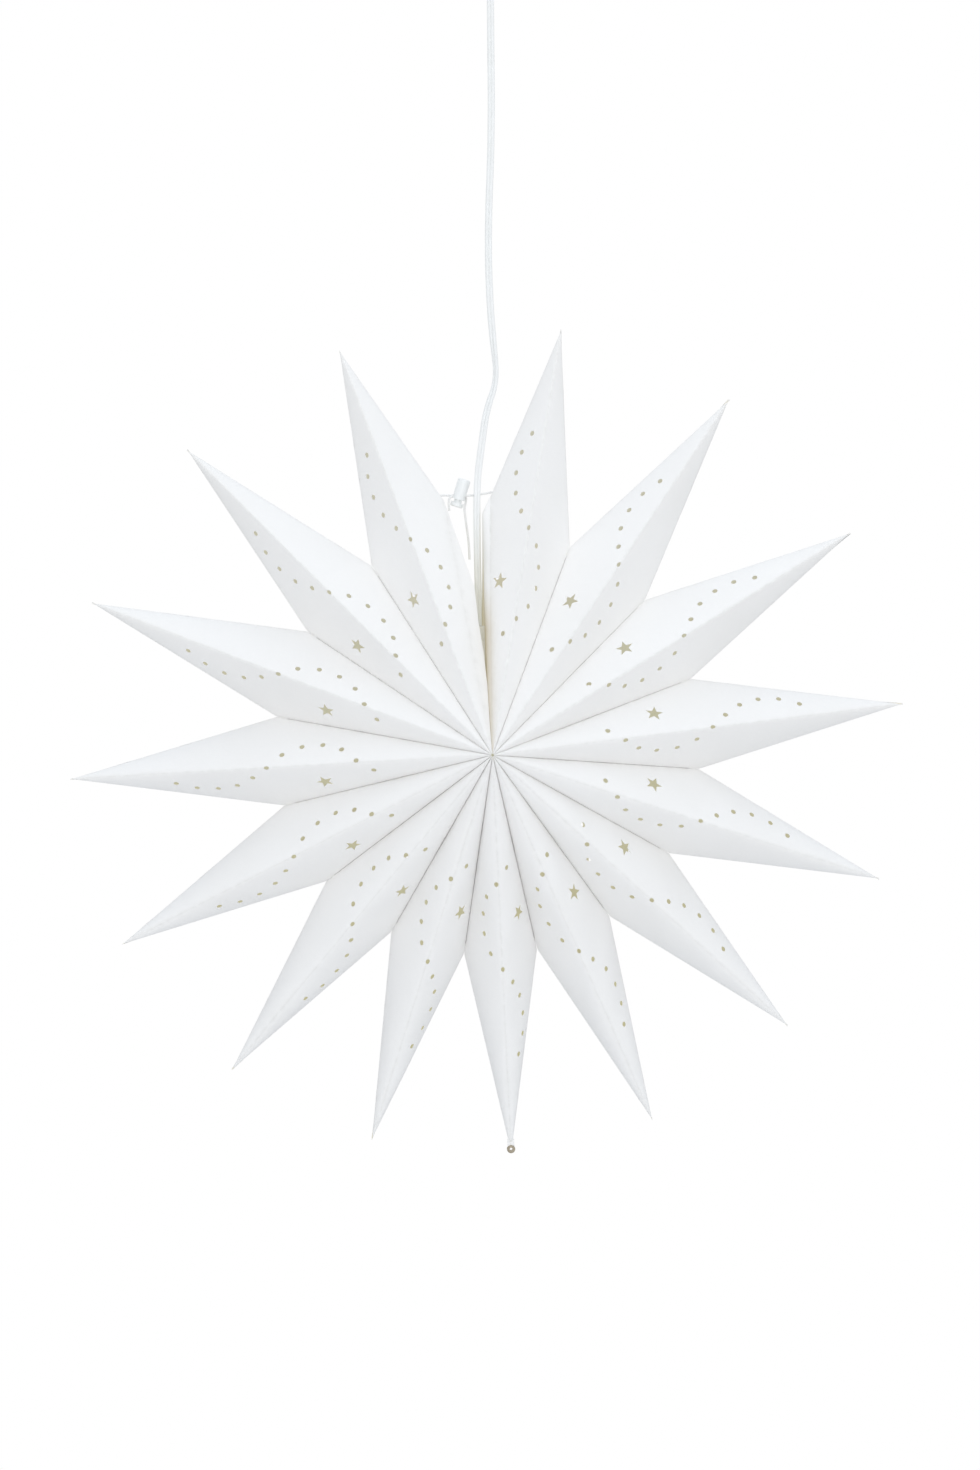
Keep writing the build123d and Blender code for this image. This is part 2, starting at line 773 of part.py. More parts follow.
block_length, block_depth, block_tall = terminal_block_size
block_ceiling = plate_under - touch
block_floor = block_ceiling - block_tall
screw_face = terminal_block_x + block_length / 2
lead_ways = [(terminal_block_x, side * lead_spacing / 2) for side in (-1, 1)]
screw_height = (block_ceiling + block_floor) / 2
with BuildPart() as block:
    with BuildSketch(Plane.XY.offset(block_floor)):
        with Locations((terminal_block_x, 0)):
            RectangleRounded(block_length, block_depth, block_length / 8)
    extrude(amount=block_tall)
    with BuildSketch(Plane.XY.offset(block_floor)):
        with Locations(*lead_ways):
            Circle(lead_radius + slip)
    extrude(amount=lead_depth + slip, mode=Mode.SUBTRACT)
    with BuildSketch(Plane(origin=(screw_face, 0, screw_height), x_dir=(0, 1, 0), z_dir=(1, 0, 0))):
        with Locations(*((side * lead_spacing / 2, 0) for side in (-1, 1))):
            Circle(block_screw_radius + touch)
    extrude(amount=-block_screw_length - touch, mode=Mode.SUBTRACT)
save(block.part, "terminal_block")

for side, name in ((-1, "front"), (1, "back")):
    seat = Plane(origin=(screw_face, side * lead_spacing / 2, screw_height), x_dir=(0, 1, 0), z_dir=(1, 0, 0))
    with BuildPart() as screw:
        with BuildSketch(seat):
            Circle(block_screw_radius)
        extrude(amount=-block_screw_length)
        with BuildSketch(seat):
            Rectangle(2 * block_screw_radius, block_screw_radius / 3)
        extrude(amount=-block_screw_radius / 3, mode=Mode.SUBTRACT)
    save(screw.part, f"block_screw_{name}")

# ---- Hanger: its eye rides the hook, its block and bar clamp the flex ----

wire_top = hook_height - hook_radius + hook_wire_radius
eye_top = wire_top + 2 * clearance
eye_middle = Vector(0, 0, eye_top - eye_inner_radius)
eye_plane = Plane(origin=eye_middle, x_dir=(0, 1, 0), z_dir=(1, 0, 0))
clamp_bore = flex_radius + clearance
bar_back = block_front - bar_gap
bar_front = bar_back - bar_thickness
clamp_screw_height = block_top - bar_height / 2

with BuildSketch(Plane.XZ) as flex_way:
    with BuildLine():
        Polyline(
            (0, block_bottom),
            (flare_radius, block_bottom),
            (clamp_bore, block_bottom + flare_height),
            (clamp_bore, block_top),
            (0, block_top),
            close=True,
        )
    make_face()

with BuildPart() as hanger:
    with BuildSketch(eye_plane):
        Circle(eye_outer_radius)
    extrude(amount=eye_width / 2, both=True)
    with BuildSketch(Plane.XY.offset(eye_middle.Z)):
        with Locations((0, (neck_front + neck_back) / 2)):
            Rectangle(eye_width, neck_back - neck_front)
    extrude(amount=block_top - eye_middle.Z)
    with BuildSketch(Plane.XY.offset(block_bottom)):
        with Locations((0, (block_front + block_back) / 2)):
            Rectangle(block_width, block_back - block_front)
    extrude(amount=block_top - block_bottom)
    with BuildSketch(eye_plane):
        Circle(eye_inner_radius)
    extrude(amount=eye_width, both=True, mode=Mode.SUBTRACT)
    revolve(flex_way.sketch, axis=Axis.Z, mode=Mode.SUBTRACT)
    with BuildSketch(Plane(origin=(0, block_front, clamp_screw_height), x_dir=(1, 0, 0), z_dir=(0, -1, 0))):
        with Locations((-clamp_screw_x, 0), (clamp_screw_x, 0)):
            Circle(clamp_screw_radius + touch)
    extrude(amount=bar_thickness + bar_gap - clamp_screw_depth - touch, mode=Mode.SUBTRACT)
save(hanger.part, "cord_hanger")

with BuildPart() as bar:
    with BuildSketch(Plane.XY.offset(block_top)):
        with Locations((0, (bar_front + bar_back) / 2)):
            Rectangle(block_width, bar_thickness)
    extrude(amount=-bar_height)
    revolve(flex_way.sketch, axis=Axis.Z, mode=Mode.SUBTRACT)
    with BuildSketch(Plane(origin=(0, bar_front, clamp_screw_height), x_dir=(1, 0, 0), z_dir=(0, -1, 0))):
        with Locations((-clamp_screw_x, 0), (clamp_screw_x, 0)):
            Circle(clamp_screw_radius + touch)
    extrude(amount=-bar_thickness, mode=Mode.SUBTRACT)
save(bar.part, "clamp_bar")

for side, name in ((-1, "left"), (1, "right")):
    middle = (side * clamp_screw_x, bar_front - touch, clamp_screw_height)
    seat = Plane(origin=middle, x_dir=(1, 0, 0), z_dir=(0, -1, 0))
    with BuildPart() as screw:
        with BuildSketch(seat):
            Circle(clamp_head_radius)
        extrude(amount=clamp_head_height)
        with BuildSketch(seat):
            Circle(clamp_screw_radius)
        extrude(amount=-clamp_screw_depth)
        with BuildSketch(seat.offset(clamp_head_height)):
            Rectangle(2 * clamp_head_radius, clamp_screw_radius / 2)
        extrude(amount=-clamp_head_height / 2, mode=Mode.SUBTRACT)
    save(screw.part, f"clamp_screw_{name}")

# ---- Clamped end of the flex, and its two leads to the terminal block ----

with BuildPart() as cord_head:
    with BuildSketch(Plane.XY.offset(block_top)):
        Circle(flex_radius)
    extrude(amount=flex_top + flex_radius + touch - block_top)
save(cord_head.part, "cord_head")

lead_end = block_floor + lead_depth
lead_routes = {
    "back": [
        (lead_split, 0, block_top + touch),
        (lead_split, 0, -38.9),
        (5.4, 0.6, -37.0),
        (12.4, 2.2, -32.6),
        (18.0, 3.6, -25.0),
        (terminal_block_x, lead_spacing / 2, -16.4),
        (terminal_block_x, lead_spacing / 2, lead_end),
    ],
    "front": [
        (-lead_split, 0, block_top + touch),
        (-lead_split, 0, -38.4),
        (2.0, -3.2, -37.6),
        (9.0, -4.6, -34.6),
        (16.0, -4.6, -28.4),
        (terminal_block_x, -lead_spacing / 2, -17.5),
        (terminal_block_x, -lead_spacing / 2, lead_end),
    ],
}
for name, route in lead_routes.items():
    points = [Vector(*place) for place in route]
    with BuildPart() as lead:
        with BuildLine():
            FilletPolyline(*points, radius=corner_radii(points, f"lead_{name}"))
        with BuildSketch(Plane(origin=points[0], z_dir=points[1] - points[0])):
            Circle(lead_radius)
        sweep()
    save(lead.part, f"lead_{name}")

# ---- Ceiling cup and its thumb screw ----

cup_bore = flex_radius + cup_bore_clearance
screw_middle = (cup_neck_top + cup_bottom) / 2
with BuildPart() as cup:
    with BuildSketch(Plane.XZ):
        with BuildLine():
            Spline(
                (cup_radius, cup_rim),
                (cup_shoulder_radius, cup_shoulder),
                (cup_belly_radius, cup_belly),
                (cup_neck_radius, cup_neck_top),
            )
            Polyline(
                (cup_neck_radius, cup_neck_top),
                (cup_neck_radius, cup_bottom),
                (cup_bore, cup_bottom),
                (cup_bore, cup_neck_top + cup_wall),
                (cup_neck_radius - cup_wall, cup_neck_top + cup_wall),
            )
            Spline(
                (cup_neck_radius - cup_wall, cup_neck_top + cup_wall),
                (cup_belly_radius - cup_wall, cup_belly + cup_wall),
                (cup_shoulder_radius - cup_wall, cup_shoulder),
                (cup_radius - cup_wall, cup_rim),
            )
            Line((cup_radius - cup_wall, cup_rim), (cup_radius, cup_rim))
        make_face()
    revolve(axis=Axis.Z)
    with BuildSketch(Plane(origin=(0, 0, screw_middle), x_dir=(1, 0, 0), z_dir=(0, 1, 0))):
        Circle(thumb_screw_radius + touch)
    extrude(amount=2 * cup_neck_radius, mode=Mode.SUBTRACT)
save(cup.part, "ceiling_cup")

head_seat = cup_neck_radius + touch
with BuildPart() as thumb_screw:
    with BuildSketch(Plane(origin=(0, head_seat, screw_middle), x_dir=(1, 0, 0), z_dir=(0, 1, 0))):
        Circle(thumb_head_radius)
    extrude(amount=thumb_head_height)
    with BuildSketch(Plane(origin=(0, head_seat, screw_middle), x_dir=(1, 0, 0), z_dir=(0, 1, 0))):
        Circle(thumb_screw_radius)
    extrude(amount=flex_radius + thumb_screw_gap - head_seat)
    fillet(thumb_screw.edges().filter_by(GeomType.CIRCLE).sort_by(Axis.Y)[-1], thumb_head_height / 5)
save(thumb_screw.part, "cup_screw")
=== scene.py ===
from math import cos, exp, pi, radians, sin

import bpy
import numpy as np
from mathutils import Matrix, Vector
from mathutils.geometry import delaunay_2d_cdt


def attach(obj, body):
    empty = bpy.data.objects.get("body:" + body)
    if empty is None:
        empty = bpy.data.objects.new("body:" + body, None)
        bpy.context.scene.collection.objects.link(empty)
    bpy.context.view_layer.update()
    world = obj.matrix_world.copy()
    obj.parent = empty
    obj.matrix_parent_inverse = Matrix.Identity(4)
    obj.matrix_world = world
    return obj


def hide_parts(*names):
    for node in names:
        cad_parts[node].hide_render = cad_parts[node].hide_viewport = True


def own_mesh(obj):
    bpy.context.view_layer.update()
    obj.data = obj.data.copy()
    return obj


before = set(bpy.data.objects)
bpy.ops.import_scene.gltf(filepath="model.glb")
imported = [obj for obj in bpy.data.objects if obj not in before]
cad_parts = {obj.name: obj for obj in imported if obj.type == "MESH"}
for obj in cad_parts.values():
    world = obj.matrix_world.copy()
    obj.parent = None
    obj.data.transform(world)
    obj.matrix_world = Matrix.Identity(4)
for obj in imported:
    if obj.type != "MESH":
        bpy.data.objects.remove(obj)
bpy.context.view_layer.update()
print("frame loaded")

mm = 0.001
middle = np.array((-1.2, 0.0, -630.0))  # the star's middle, mm, in the frame of the ceiling plate

# camera: a little above the star's middle and a little to its left

view = {
    "aim": (0.0, 0.0, -0.6233),
    "distance": 2.45,
    "azimuth": 2.36,
    "elevation": 5.8,
    "heightAtAim": 1.054,  # metres of the star's plane, top to bottom of the picture
}


def placeCamera():
    az, el = radians(view["azimuth"]), radians(view["elevation"])
    away = Vector((-sin(az) * cos(el), -cos(az) * cos(el), sin(el)))
    camera = bpy.data.objects.new("camera", bpy.data.cameras.new("camera"))
    bpy.context.collection.objects.link(camera)
    camera.location = Vector(view["aim"]) + away * view["distance"]
    camera.rotation_euler = (-away).to_track_quat("-Z", "Y").to_euler()
    camera.data.sensor_fit = "VERTICAL"
    camera.data.sensor_height = 24
    camera.data.lens = 24 * view["distance"] / view["heightAtAim"]
    camera.data.clip_end = 50
    bpy.context.scene.camera = camera


placeCamera()
bpy.context.scene.view_settings.view_transform = "Standard"
print("camera placed")

# small tools for meshes


def unit(v):
    v = np.asarray(v, float)
    return v / np.linalg.norm(v, axis=-1, keepdims=True)


def newPiece(name, points, faces, materials, body, uv=None, values=None, smooth=True):
    # points in mm; faces are lists of indices; uv is one pair per point; values are point attributes
    mesh = bpy.data.meshes.new(name)
    mesh.from_pydata((np.asarray(points) * mm).tolist(), [], [tuple(f) for f in faces])
    if uv is not None:
        layer = mesh.uv_layers.new(name="unfolded")
        loops = np.empty(len(mesh.loops), np.int64)
        mesh.loops.foreach_get("vertex_index", loops)
        layer.data.foreach_set("uv", np.asarray(uv, np.float32)[loops].ravel())
    for key, value in (values or {}).items():
        mesh.attributes.new(key, "FLOAT", "POINT").data.foreach_set("value", np.asarray(value, np.float32))
    if smooth:
        mesh.shade_smooth()
    mesh.validate()
    piece = bpy.data.objects.new(name, mesh)
    bpy.context.collection.objects.link(piece)
    for material in materials:
        mesh.materials.append(material)
    if body:
        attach(piece, body)
    return piece


def bakeModifiers(piece, sharpAbove):
    # applies what is on the piece and keeps an edge crisp where its faces meet at more than that angle
    depsgraph = bpy.context.evaluated_depsgraph_get()
    mesh = bpy.data.meshes.new_from_object(piece.evaluated_get(depsgraph), depsgraph=depsgraph)
    piece.modifiers.clear()
    old = piece.data
    piece.data = mesh
    mesh.name = old.name
    bpy.data.meshes.remove(old)
    mesh.shade_smooth()
    mesh.set_sharp_from_angle(angle=radians(sharpAbove))


def smoothLine(route, name, step):
    # the route's points pull a smooth NURBS line, which is read back and divided evenly
    curve = bpy.data.curves.new(name, "CURVE")
    curve.dimensions = "3D"
    spline = curve.splines.new("NURBS")
    spline.points.add(len(route) - 1)
    spline.points.foreach_set("co", np.c_[np.asarray(route) * mm, np.ones(len(route))].ravel())
    spline.order_u = 3
    spline.use_endpoint_u = True
    spline.resolution_u = 24
    holder = bpy.data.objects.new(name, curve)
    bpy.context.collection.objects.link(holder)
    depsgraph = bpy.context.evaluated_depsgraph_get()
    mesh = bpy.data.meshes.new_from_object(holder.evaluated_get(depsgraph), depsgraph=depsgraph)
    line = np.empty(len(mesh.vertices) * 3)
    mesh.vertices.foreach_get("co", line)
    line = line.reshape(-1, 3) / mm
    bpy.data.objects.remove(holder)
    bpy.data.meshes.remove(mesh)
    along = np.r_[0, np.cumsum(np.linalg.norm(np.diff(line, axis=0), axis=1))]
    even = np.linspace(0, along[-1], max(8, int(along[-1] / step)) + 1)
    return np.stack([np.interp(even, along, line[:, k]) for k in range(3)], axis=1), even


def tube(line, along, section, across):
    # section(angle, distance) gives two offsets; the first lies across the line, square to `across`
    around = np.linspace(0, 2 * pi, section["sides"], endpoint=False)
    tangent = unit(np.gradient(line, axis=0))
    second = unit(np.asarray(across, float) - (tangent @ np.asarray(across, float))[:, None] * tangent)
    first = np.cross(second, tangent)
    a, b = section["shape"](around[None, :], along[:, None])
    rings = line[:, None] + a[..., None] * first[:, None] + b[..., None] * second[:, None]
    count, sides = len(line), len(around)
    points = np.concatenate([rings.reshape(-1, 3), line[:1], line[-1:]])
    i, j = np.meshgrid(np.arange(count - 1), np.arange(sides), indexing="ij")
    k = (j + 1) % sides
    walls = np.stack([i * sides + j, i * sides + k, (i + 1) * sides + k, (i + 1) * sides + j], -1)
    walls = walls.reshape(-1, 4)
    j = np.arange(sides)
    k = (j + 1) % sides
    first = np.stack([k, j, np.full(sides, count * sides)], -1)
    last = np.stack([j + (count - 1) * sides, k + (count - 1) * sides, np.full(sides, count * sides + 1)], -1)
    uv = np.stack(np.broadcast_arrays(around[None, :] / (2 * pi), along[:, None] / 10), -1).reshape(-1, 2)
    uv = np.concatenate([uv, [[0, 0], [0, along[-1] / 10]]])
    return points, walls.tolist() + first.tolist() + last.tolist(), uv


# shader groups


def groupOf(name, inputs, outputs):
    tree = bpy.data.node_groups.new(name, "ShaderNodeTree")
    for label, kind, value in inputs:
        made = tree.interface.new_socket(name=label, in_out="INPUT", socket_type=kind)
        if value is not None:
            made.default_value = value
    for label, kind in outputs:
        tree.interface.new_socket(name=label, in_out="OUTPUT", socket_type=kind)
    return tree, tree.nodes.new("NodeGroupInput"), tree.nodes.new("NodeGroupOutput")


def addNode(tree, kind, inputs=None, **settings):
    node = tree.nodes.new(kind)
    for key, value in settings.items():
        setattr(node, key, value)
    for key, value in (inputs or {}).items():
        if isinstance(value, bpy.types.NodeSocket):
            tree.links.new(value, node.inputs[key])
        else:
            node.inputs[key].default_value = value
    return node


def stretched(tree, vector, scale):
    return addNode(tree, "ShaderNodeMapping", {"Vector": vector, "Scale": scale}).outputs["Vector"]


def noise(tree, vector, scale, detail=3.0, roughness=0.55):
    inputs = {"Vector": vector, "Scale": scale, "Detail": detail, "Roughness": roughness}
    return addNode(tree, "ShaderNodeTexNoise", inputs).outputs["Fac"]


def remap(tree, value, low, high, toLow, toHigh):
    made = addNode(
        tree, "ShaderNodeMapRange",
        {"Value": value, "From Min": low, "From Max": high, "To Min": toLow, "To Max": toHigh},
    )
    return made.outputs["Result"]


def arithmetic(tree, operation, a, b):
    return addNode(tree, "ShaderNodeMath", {0: a, 1: b}, operation=operation).outputs[0]


def mixColour(tree, share, a, b, kind="MIX"):
    made = addNode(tree, "ShaderNodeMix", data_type="RGBA", blend_type=kind)
    for index, value in ((0, share), (6, a), (7, b)):
        if isinstance(value, bpy.types.NodeSocket):
            tree.links.new(value, made.inputs[index])
        else:
            made.inputs[index].default_value = value
    return made.outputs[2]


def makeCardGroup():
    # pressed card: long faint fibres, soft clouds of tone, a darker, rougher line where it is folded (crease
    # wear and painted shade), and a painted warm shade on the turned seam
    tree, given, out = groupOf(
        "cardFibres",
        [("Vector", "NodeSocketVector", None), ("Card", "NodeSocketColor", (0.9, 0.9, 0.9, 1)),
         ("Cloud", "NodeSocketColor", (0.8, 0.8, 0.8, 1)), ("WornAndShade", "NodeSocketColor", (0.8, 0.8, 0.8, 1)),
         ("Fold", "NodeSocketFloat", 0.0), ("SeamShade", "NodeSocketFloat", 0.0),
         ("Golden", "NodeSocketColor", (0.60, 0.51, 0.35, 1)), ("Scale", "NodeSocketFloat", 1.0)],
        [("Color", "NodeSocketColor"), ("Roughness", "NodeSocketFloat"), ("Height", "NodeSocketFloat")],
    )
    size = {0: given.outputs["Vector"], "Scale": given.outputs["Scale"]}
    vector = addNode(tree, "ShaderNodeVectorMath", size, operation="SCALE").outputs[0]
    clouds = noise(tree, vector, 9.0, 4.0)
    fibres = noise(tree, stretched(tree, vector, (260.0, 900.0, 900.0)), 1.0, 2.0)
    crossed = noise(tree, stretched(tree, vector, (850.0, 300.0, 850.0)), 1.0, 2.0)
    felt = arithmetic(tree, "ADD", fibres, crossed)
    cloudy = remap(tree, clouds, 0.35, 0.75, 0.0, 1.0)
    tone = mixColour(tree, cloudy, given.outputs["Card"], given.outputs["Cloud"])
    specks = remap(tree, felt, 0.72, 1.25, 0.0, 0.10)
    tone = mixColour(tree, specks, tone, given.outputs["WornAndShade"])
    # crease wear and painted shade: the colour darkens in patches along the folds, seams and edges
    patchy = remap(tree, noise(tree, vector, 160.0, 3.0), 0.35, 0.6, 0.25, 1.0)
    broken = arithmetic(tree, "MULTIPLY", given.outputs["Fold"], patchy)
    tone = mixColour(tree, broken, tone, given.outputs["WornAndShade"])
    # painted shade: a warm golden tint laid over the card where the turned seam rolls in
    tone = mixColour(tree, given.outputs["SeamShade"], tone, given.outputs["Golden"])
    tree.links.new(tone, out.inputs["Color"])
    feltRough = remap(tree, felt, 0.6, 1.4, 0.62, 0.8)
    rough = arithmetic(tree, "ADD", feltRough, arithmetic(tree, "MULTIPLY", broken, 0.12))
    tree.links.new(rough, out.inputs["Roughness"])
    raised = arithmetic(tree, "ADD", felt, arithmetic(tree, "MULTIPLY", clouds, 1.5))
    tree.links.new(raised, out.inputs["Height"])
    return tree


def makePlasticGroup():
    # moulded plastic: an orange-peel skin, cloudy tone and a little grime
    tree, given, out = groupOf(
        "mouldedSkin",
        [("Vector", "NodeSocketVector", None), ("Plastic", "NodeSocketColor", (0.9, 0.9, 0.9, 1)),
         ("Grime", "NodeSocketColor", (0.6, 0.58, 0.52, 1)), ("Gloss", "NodeSocketFloat", 0.35),
         ("Peel", "NodeSocketFloat", 900.0)],
        [("Color", "NodeSocketColor"), ("Roughness", "NodeSocketFloat"), ("Height", "NodeSocketFloat")],
    )
    vector = given.outputs["Vector"]
    clouds = noise(tree, vector, 60.0, 4.0)
    fine = {"Vector": vector, "Scale": given.outputs["Peel"], "Detail": 1.0}
    peel = addNode(tree, "ShaderNodeTexNoise", fine).outputs["Fac"]
    grimy = remap(tree, clouds, 0.45, 0.8, 0.0, 0.35)
    tone = mixColour(tree, grimy, given.outputs["Plastic"], given.outputs["Grime"])
    tree.links.new(tone, out.inputs["Color"])
    spread = remap(tree, clouds, 0.3, 0.7, -0.05, 0.08)
    tree.links.new(arithmetic(tree, "ADD", given.outputs["Gloss"], spread), out.inputs["Roughness"])
    tree.links.new(peel, out.inputs["Height"])
    return tree


def makeMetalGroup():
    # rolled or turned metal: fine streaks, dulled patches
    tree, given, out = groupOf(
        "workedMetal",
        [("Vector", "NodeSocketVector", None), ("Metal", "NodeSocketColor", (0.7, 0.7, 0.7, 1)),
         ("Dulled", "NodeSocketColor", (0.4, 0.4, 0.4, 1)), ("Gloss", "NodeSocketFloat", 0.3)],
        [("Color", "NodeSocketColor"), ("Roughness", "NodeSocketFloat"), ("Height", "NodeSocketFloat")],
    )
    vector = given.outputs["Vector"]
    streaks = noise(tree, stretched(tree, vector, (300.0, 300.0, 4000.0)), 1.0, 3.0)
    patches = noise(tree, vector, 220.0, 5.0, 0.65)
    share = remap(tree, patches, 0.42, 0.72, 0.0, 0.75)
    tree.links.new(mixColour(tree, share, given.outputs["Metal"], given.outputs["Dulled"]), out.inputs["Color"])
    rough = arithmetic(tree, "ADD", given.outputs["Gloss"], remap(tree, patches, 0.3, 0.8, 0.0, 0.3))
    tree.links.new(rough, out.inputs["Roughness"])
    tree.links.new(arithmetic(tree, "ADD", streaks, patches), out.inputs["Height"])
    return tree


glow = {  # metres in the frame of the ceiling plate
    "low": -0.84, "high": -0.46, "mottle": 0.04,
    "beside": (0.012, 0.030), "ahead": (-0.012, 0.0), "rises": (-0.60, -0.52), "ends": (-0.50, -0.47),
}


def makeGlowGroup():
    # painted light: an emission standing in for light that has come through card, mottled, changing with
    # height, and strongest behind the open seam
    tree, given, out = groupOf(
        "cardGlow",
        [("Vector", "NodeSocketVector", None), ("Low", "NodeSocketColor", (0.86, 0.90, 0.66, 1)),
         ("High", "NodeSocketColor", (0.92, 0.99, 0.97, 1)),
         ("Opening", "NodeSocketColor", (2.6, 2.6, 2.7, 1))],
        [("Color", "NodeSocketColor")],
    )
    vector = given.outputs["Vector"]
    parts = addNode(tree, "ShaderNodeSeparateXYZ", {0: vector}).outputs
    clouds = remap(tree, noise(tree, vector, 14.0, 2.0), 0.3, 0.7, -glow["mottle"], glow["mottle"])
    share = remap(tree, arithmetic(tree, "ADD", parts["Z"], clouds), glow["low"], glow["high"], 0.0, 1.0)
    tone = mixColour(tree, share, given.outputs["Low"], given.outputs["High"])
    beside = remap(tree, arithmetic(tree, "ABSOLUTE", parts["X"], 0.0), *glow["beside"], 1.0, 0.0)
    ahead = remap(tree, parts["Y"], *glow["ahead"], 1.0, 0.0)
    rising = remap(tree, parts["Z"], *glow["rises"], 0.0, 1.0)
    ending = remap(tree, parts["Z"], *glow["ends"], 1.0, 0.0)
    opened = arithmetic(tree, "MULTIPLY", beside, ahead)
    opened = arithmetic(tree, "MULTIPLY", opened, arithmetic(tree, "MULTIPLY", rising, ending))
    tree.links.new(mixColour(tree, opened, tone, given.outputs["Opening"]), out.inputs["Color"])
    return tree


cardGroup, plasticGroup, metalGroup = makeCardGroup(), makePlasticGroup(), makeMetalGroup()
glowGroup = makeGlowGroup()


def finishOf(name, group, values, bump, depth, uv=False, fold=False, **settings):
    # a material: one group feeds colour, roughness and the height of a bump; the rest is plain
    material = bpy.data.materials.new(name)
    material.use_nodes = True
    tree = material.node_tree
    shader = tree.nodes["Principled BSDF"]
    made = addNode(tree, "ShaderNodeGroup", node_tree=group)
    for key, value in values.items():
        made.inputs[key].default_value = value
    if uv:
        where = addNode(tree, "ShaderNodeUVMap", uv_map="unfolded").outputs["UV"]
    else:
        where = addNode(tree, "ShaderNodeTexCoord").outputs["Object"]
    tree.links.new(where, made.inputs["Vector"])
    if fold:
        for attribute, socket in (("foldWearAndShade", "Fold"), ("seamShadeMask", "SeamShade")):
            read = addNode(tree, "ShaderNodeAttribute", attribute_name=attribute)
            tree.links.new(read.outputs["Fac"], made.inputs[socket])
    tree.links.new(made.outputs["Color"], shader.inputs["Base Color"])
    tree.links.new(made.outputs["Roughness"], shader.inputs["Roughness"])
    inputs = {"Strength": bump, "Distance": depth, "Height": made.outputs["Height"]}
    lifted = addNode(tree, "ShaderNodeBump", inputs)
    tree.links.new(lifted.outputs["Normal"], shader.inputs["Normal"])
    for key, value in settings.items():
        shader.inputs[key.replace("_", " ")].default_value = value
    return material


def addGlow(material):
    # painted light: an emission standing in for the daylight that comes through the card, cooler near the open
    # seam at the top, deeper and warmer below
    tree = material.node_tree
    made = addNode(tree, "ShaderNodeGroup", node_tree=glowGroup)
    tree.links.new(addNode(tree, "ShaderNodeTexCoord").outputs["Object"], made.inputs["Vector"])
    tree.links.new(made.outputs["Color"], tree.nodes["Principled BSDF"].inputs["Emission Color"])


cardOutside = finishOf(
    "cardOutside", cardGroup,
    {
        "Card": (0.923, 0.915, 0.903, 1), "Cloud": (0.895, 0.885, 0.868, 1), "WornAndShade": (0.82, 0.81, 0.79, 1),
        "Scale": 1.0,
    },
    0.22, 0.0002, uv=True, fold=True, Specular_IOR_Level=0.25,
)
# the inside of the card carries painted light: it glows by emission
cardInside = finishOf(
    "cardInside", cardGroup,
    {
        "Card": (0.80, 0.76, 0.66, 1), "Cloud": (0.75, 0.69, 0.56, 1), "WornAndShade": (0.64, 0.57, 0.44, 1),
        "Scale": 1.0,
    },
    0.22, 0.0002, uv=True, fold=True, Specular_IOR_Level=0.2, Emission_Strength=0.165,
)
addGlow(cardInside)
# painted light: a faint white emission lightens the flex where it runs in the star's shade
flexSheath = finishOf(
    "flexSheath", plasticGroup,
    {"Plastic": (0.84, 0.85, 0.845, 1), "Grime": (0.74, 0.74, 0.72, 1), "Gloss": 0.42, "Peel": 1400.0},
    0.05, 0.0001,
    Emission_Color=(1.0, 1.0, 1.0, 1), Emission_Strength=0.03,
)
whitePlastic = finishOf(
    "whitePlastic", plasticGroup,
    {"Plastic": (0.85, 0.85, 0.84, 1), "Grime": (0.72, 0.70, 0.66, 1), "Gloss": 0.32, "Peel": 900.0},
    0.2, 0.00015,
)
nylonWhite = finishOf(
    "nylonWhite", plasticGroup,
    {"Plastic": (0.82, 0.82, 0.79, 1), "Grime": (0.68, 0.66, 0.6, 1), "Gloss": 0.5, "Peel": 700.0},
    0.25, 0.0002,
)
# painted light: a faint emission lightens the cord lock
lockPlastic = finishOf(
    "lockPlastic", plasticGroup,
    {"Plastic": (0.92, 0.935, 0.93, 1), "Grime": (0.86, 0.88, 0.88, 1), "Gloss": 0.34, "Peel": 1100.0},
    0.15, 0.0001,
    Transmission_Weight=0.12, IOR=1.49, Emission_Color=(0.98, 1.0, 0.99, 1), Emission_Strength=0.025,
)
stringCotton = finishOf(
    "stringCotton", plasticGroup,
    {"Plastic": (0.90, 0.90, 0.89, 1), "Grime": (0.78, 0.76, 0.72, 1), "Gloss": 0.8, "Peel": 2600.0},
    0.8, 0.0003,
    Sheen_Weight=0.3,
)
zincSteel = finishOf(
    "zincSteel", metalGroup, {"Metal": (0.66, 0.67, 0.68, 1), "Dulled": (0.42, 0.42, 0.41, 1), "Gloss": 0.26},
    0.15, 0.0001, Metallic=1.0,
)
eyeletMetal = finishOf(
    "eyeletMetal", metalGroup, {"Metal": (0.36, 0.32, 0.25, 1), "Dulled": (0.10, 0.09, 0.08, 1), "Gloss": 0.38},
    0.3, 0.0001, Metallic=1.0,
)
terminalBrass = finishOf(
    "terminalBrass", metalGroup,
    {"Metal": (0.78, 0.60, 0.30, 1), "Dulled": (0.45, 0.30, 0.14, 1), "Gloss": 0.25},
    0.2, 0.0001, Metallic=1.0,
)
capAluminium = finishOf(
    "capAluminium", metalGroup,
    {"Metal": (0.78, 0.78, 0.77, 1), "Dulled": (0.55, 0.55, 0.54, 1), "Gloss": 0.22},
    0.15, 0.0001, Metallic=1.0,
)
holderCeramic = finishOf(
    "holderCeramic", plasticGroup,
    {"Plastic": (0.80, 0.78, 0.73, 1), "Grime": (0.62, 0.58, 0.5, 1), "Gloss": 0.4, "Peel": 500.0},
    0.3, 0.0002,
)
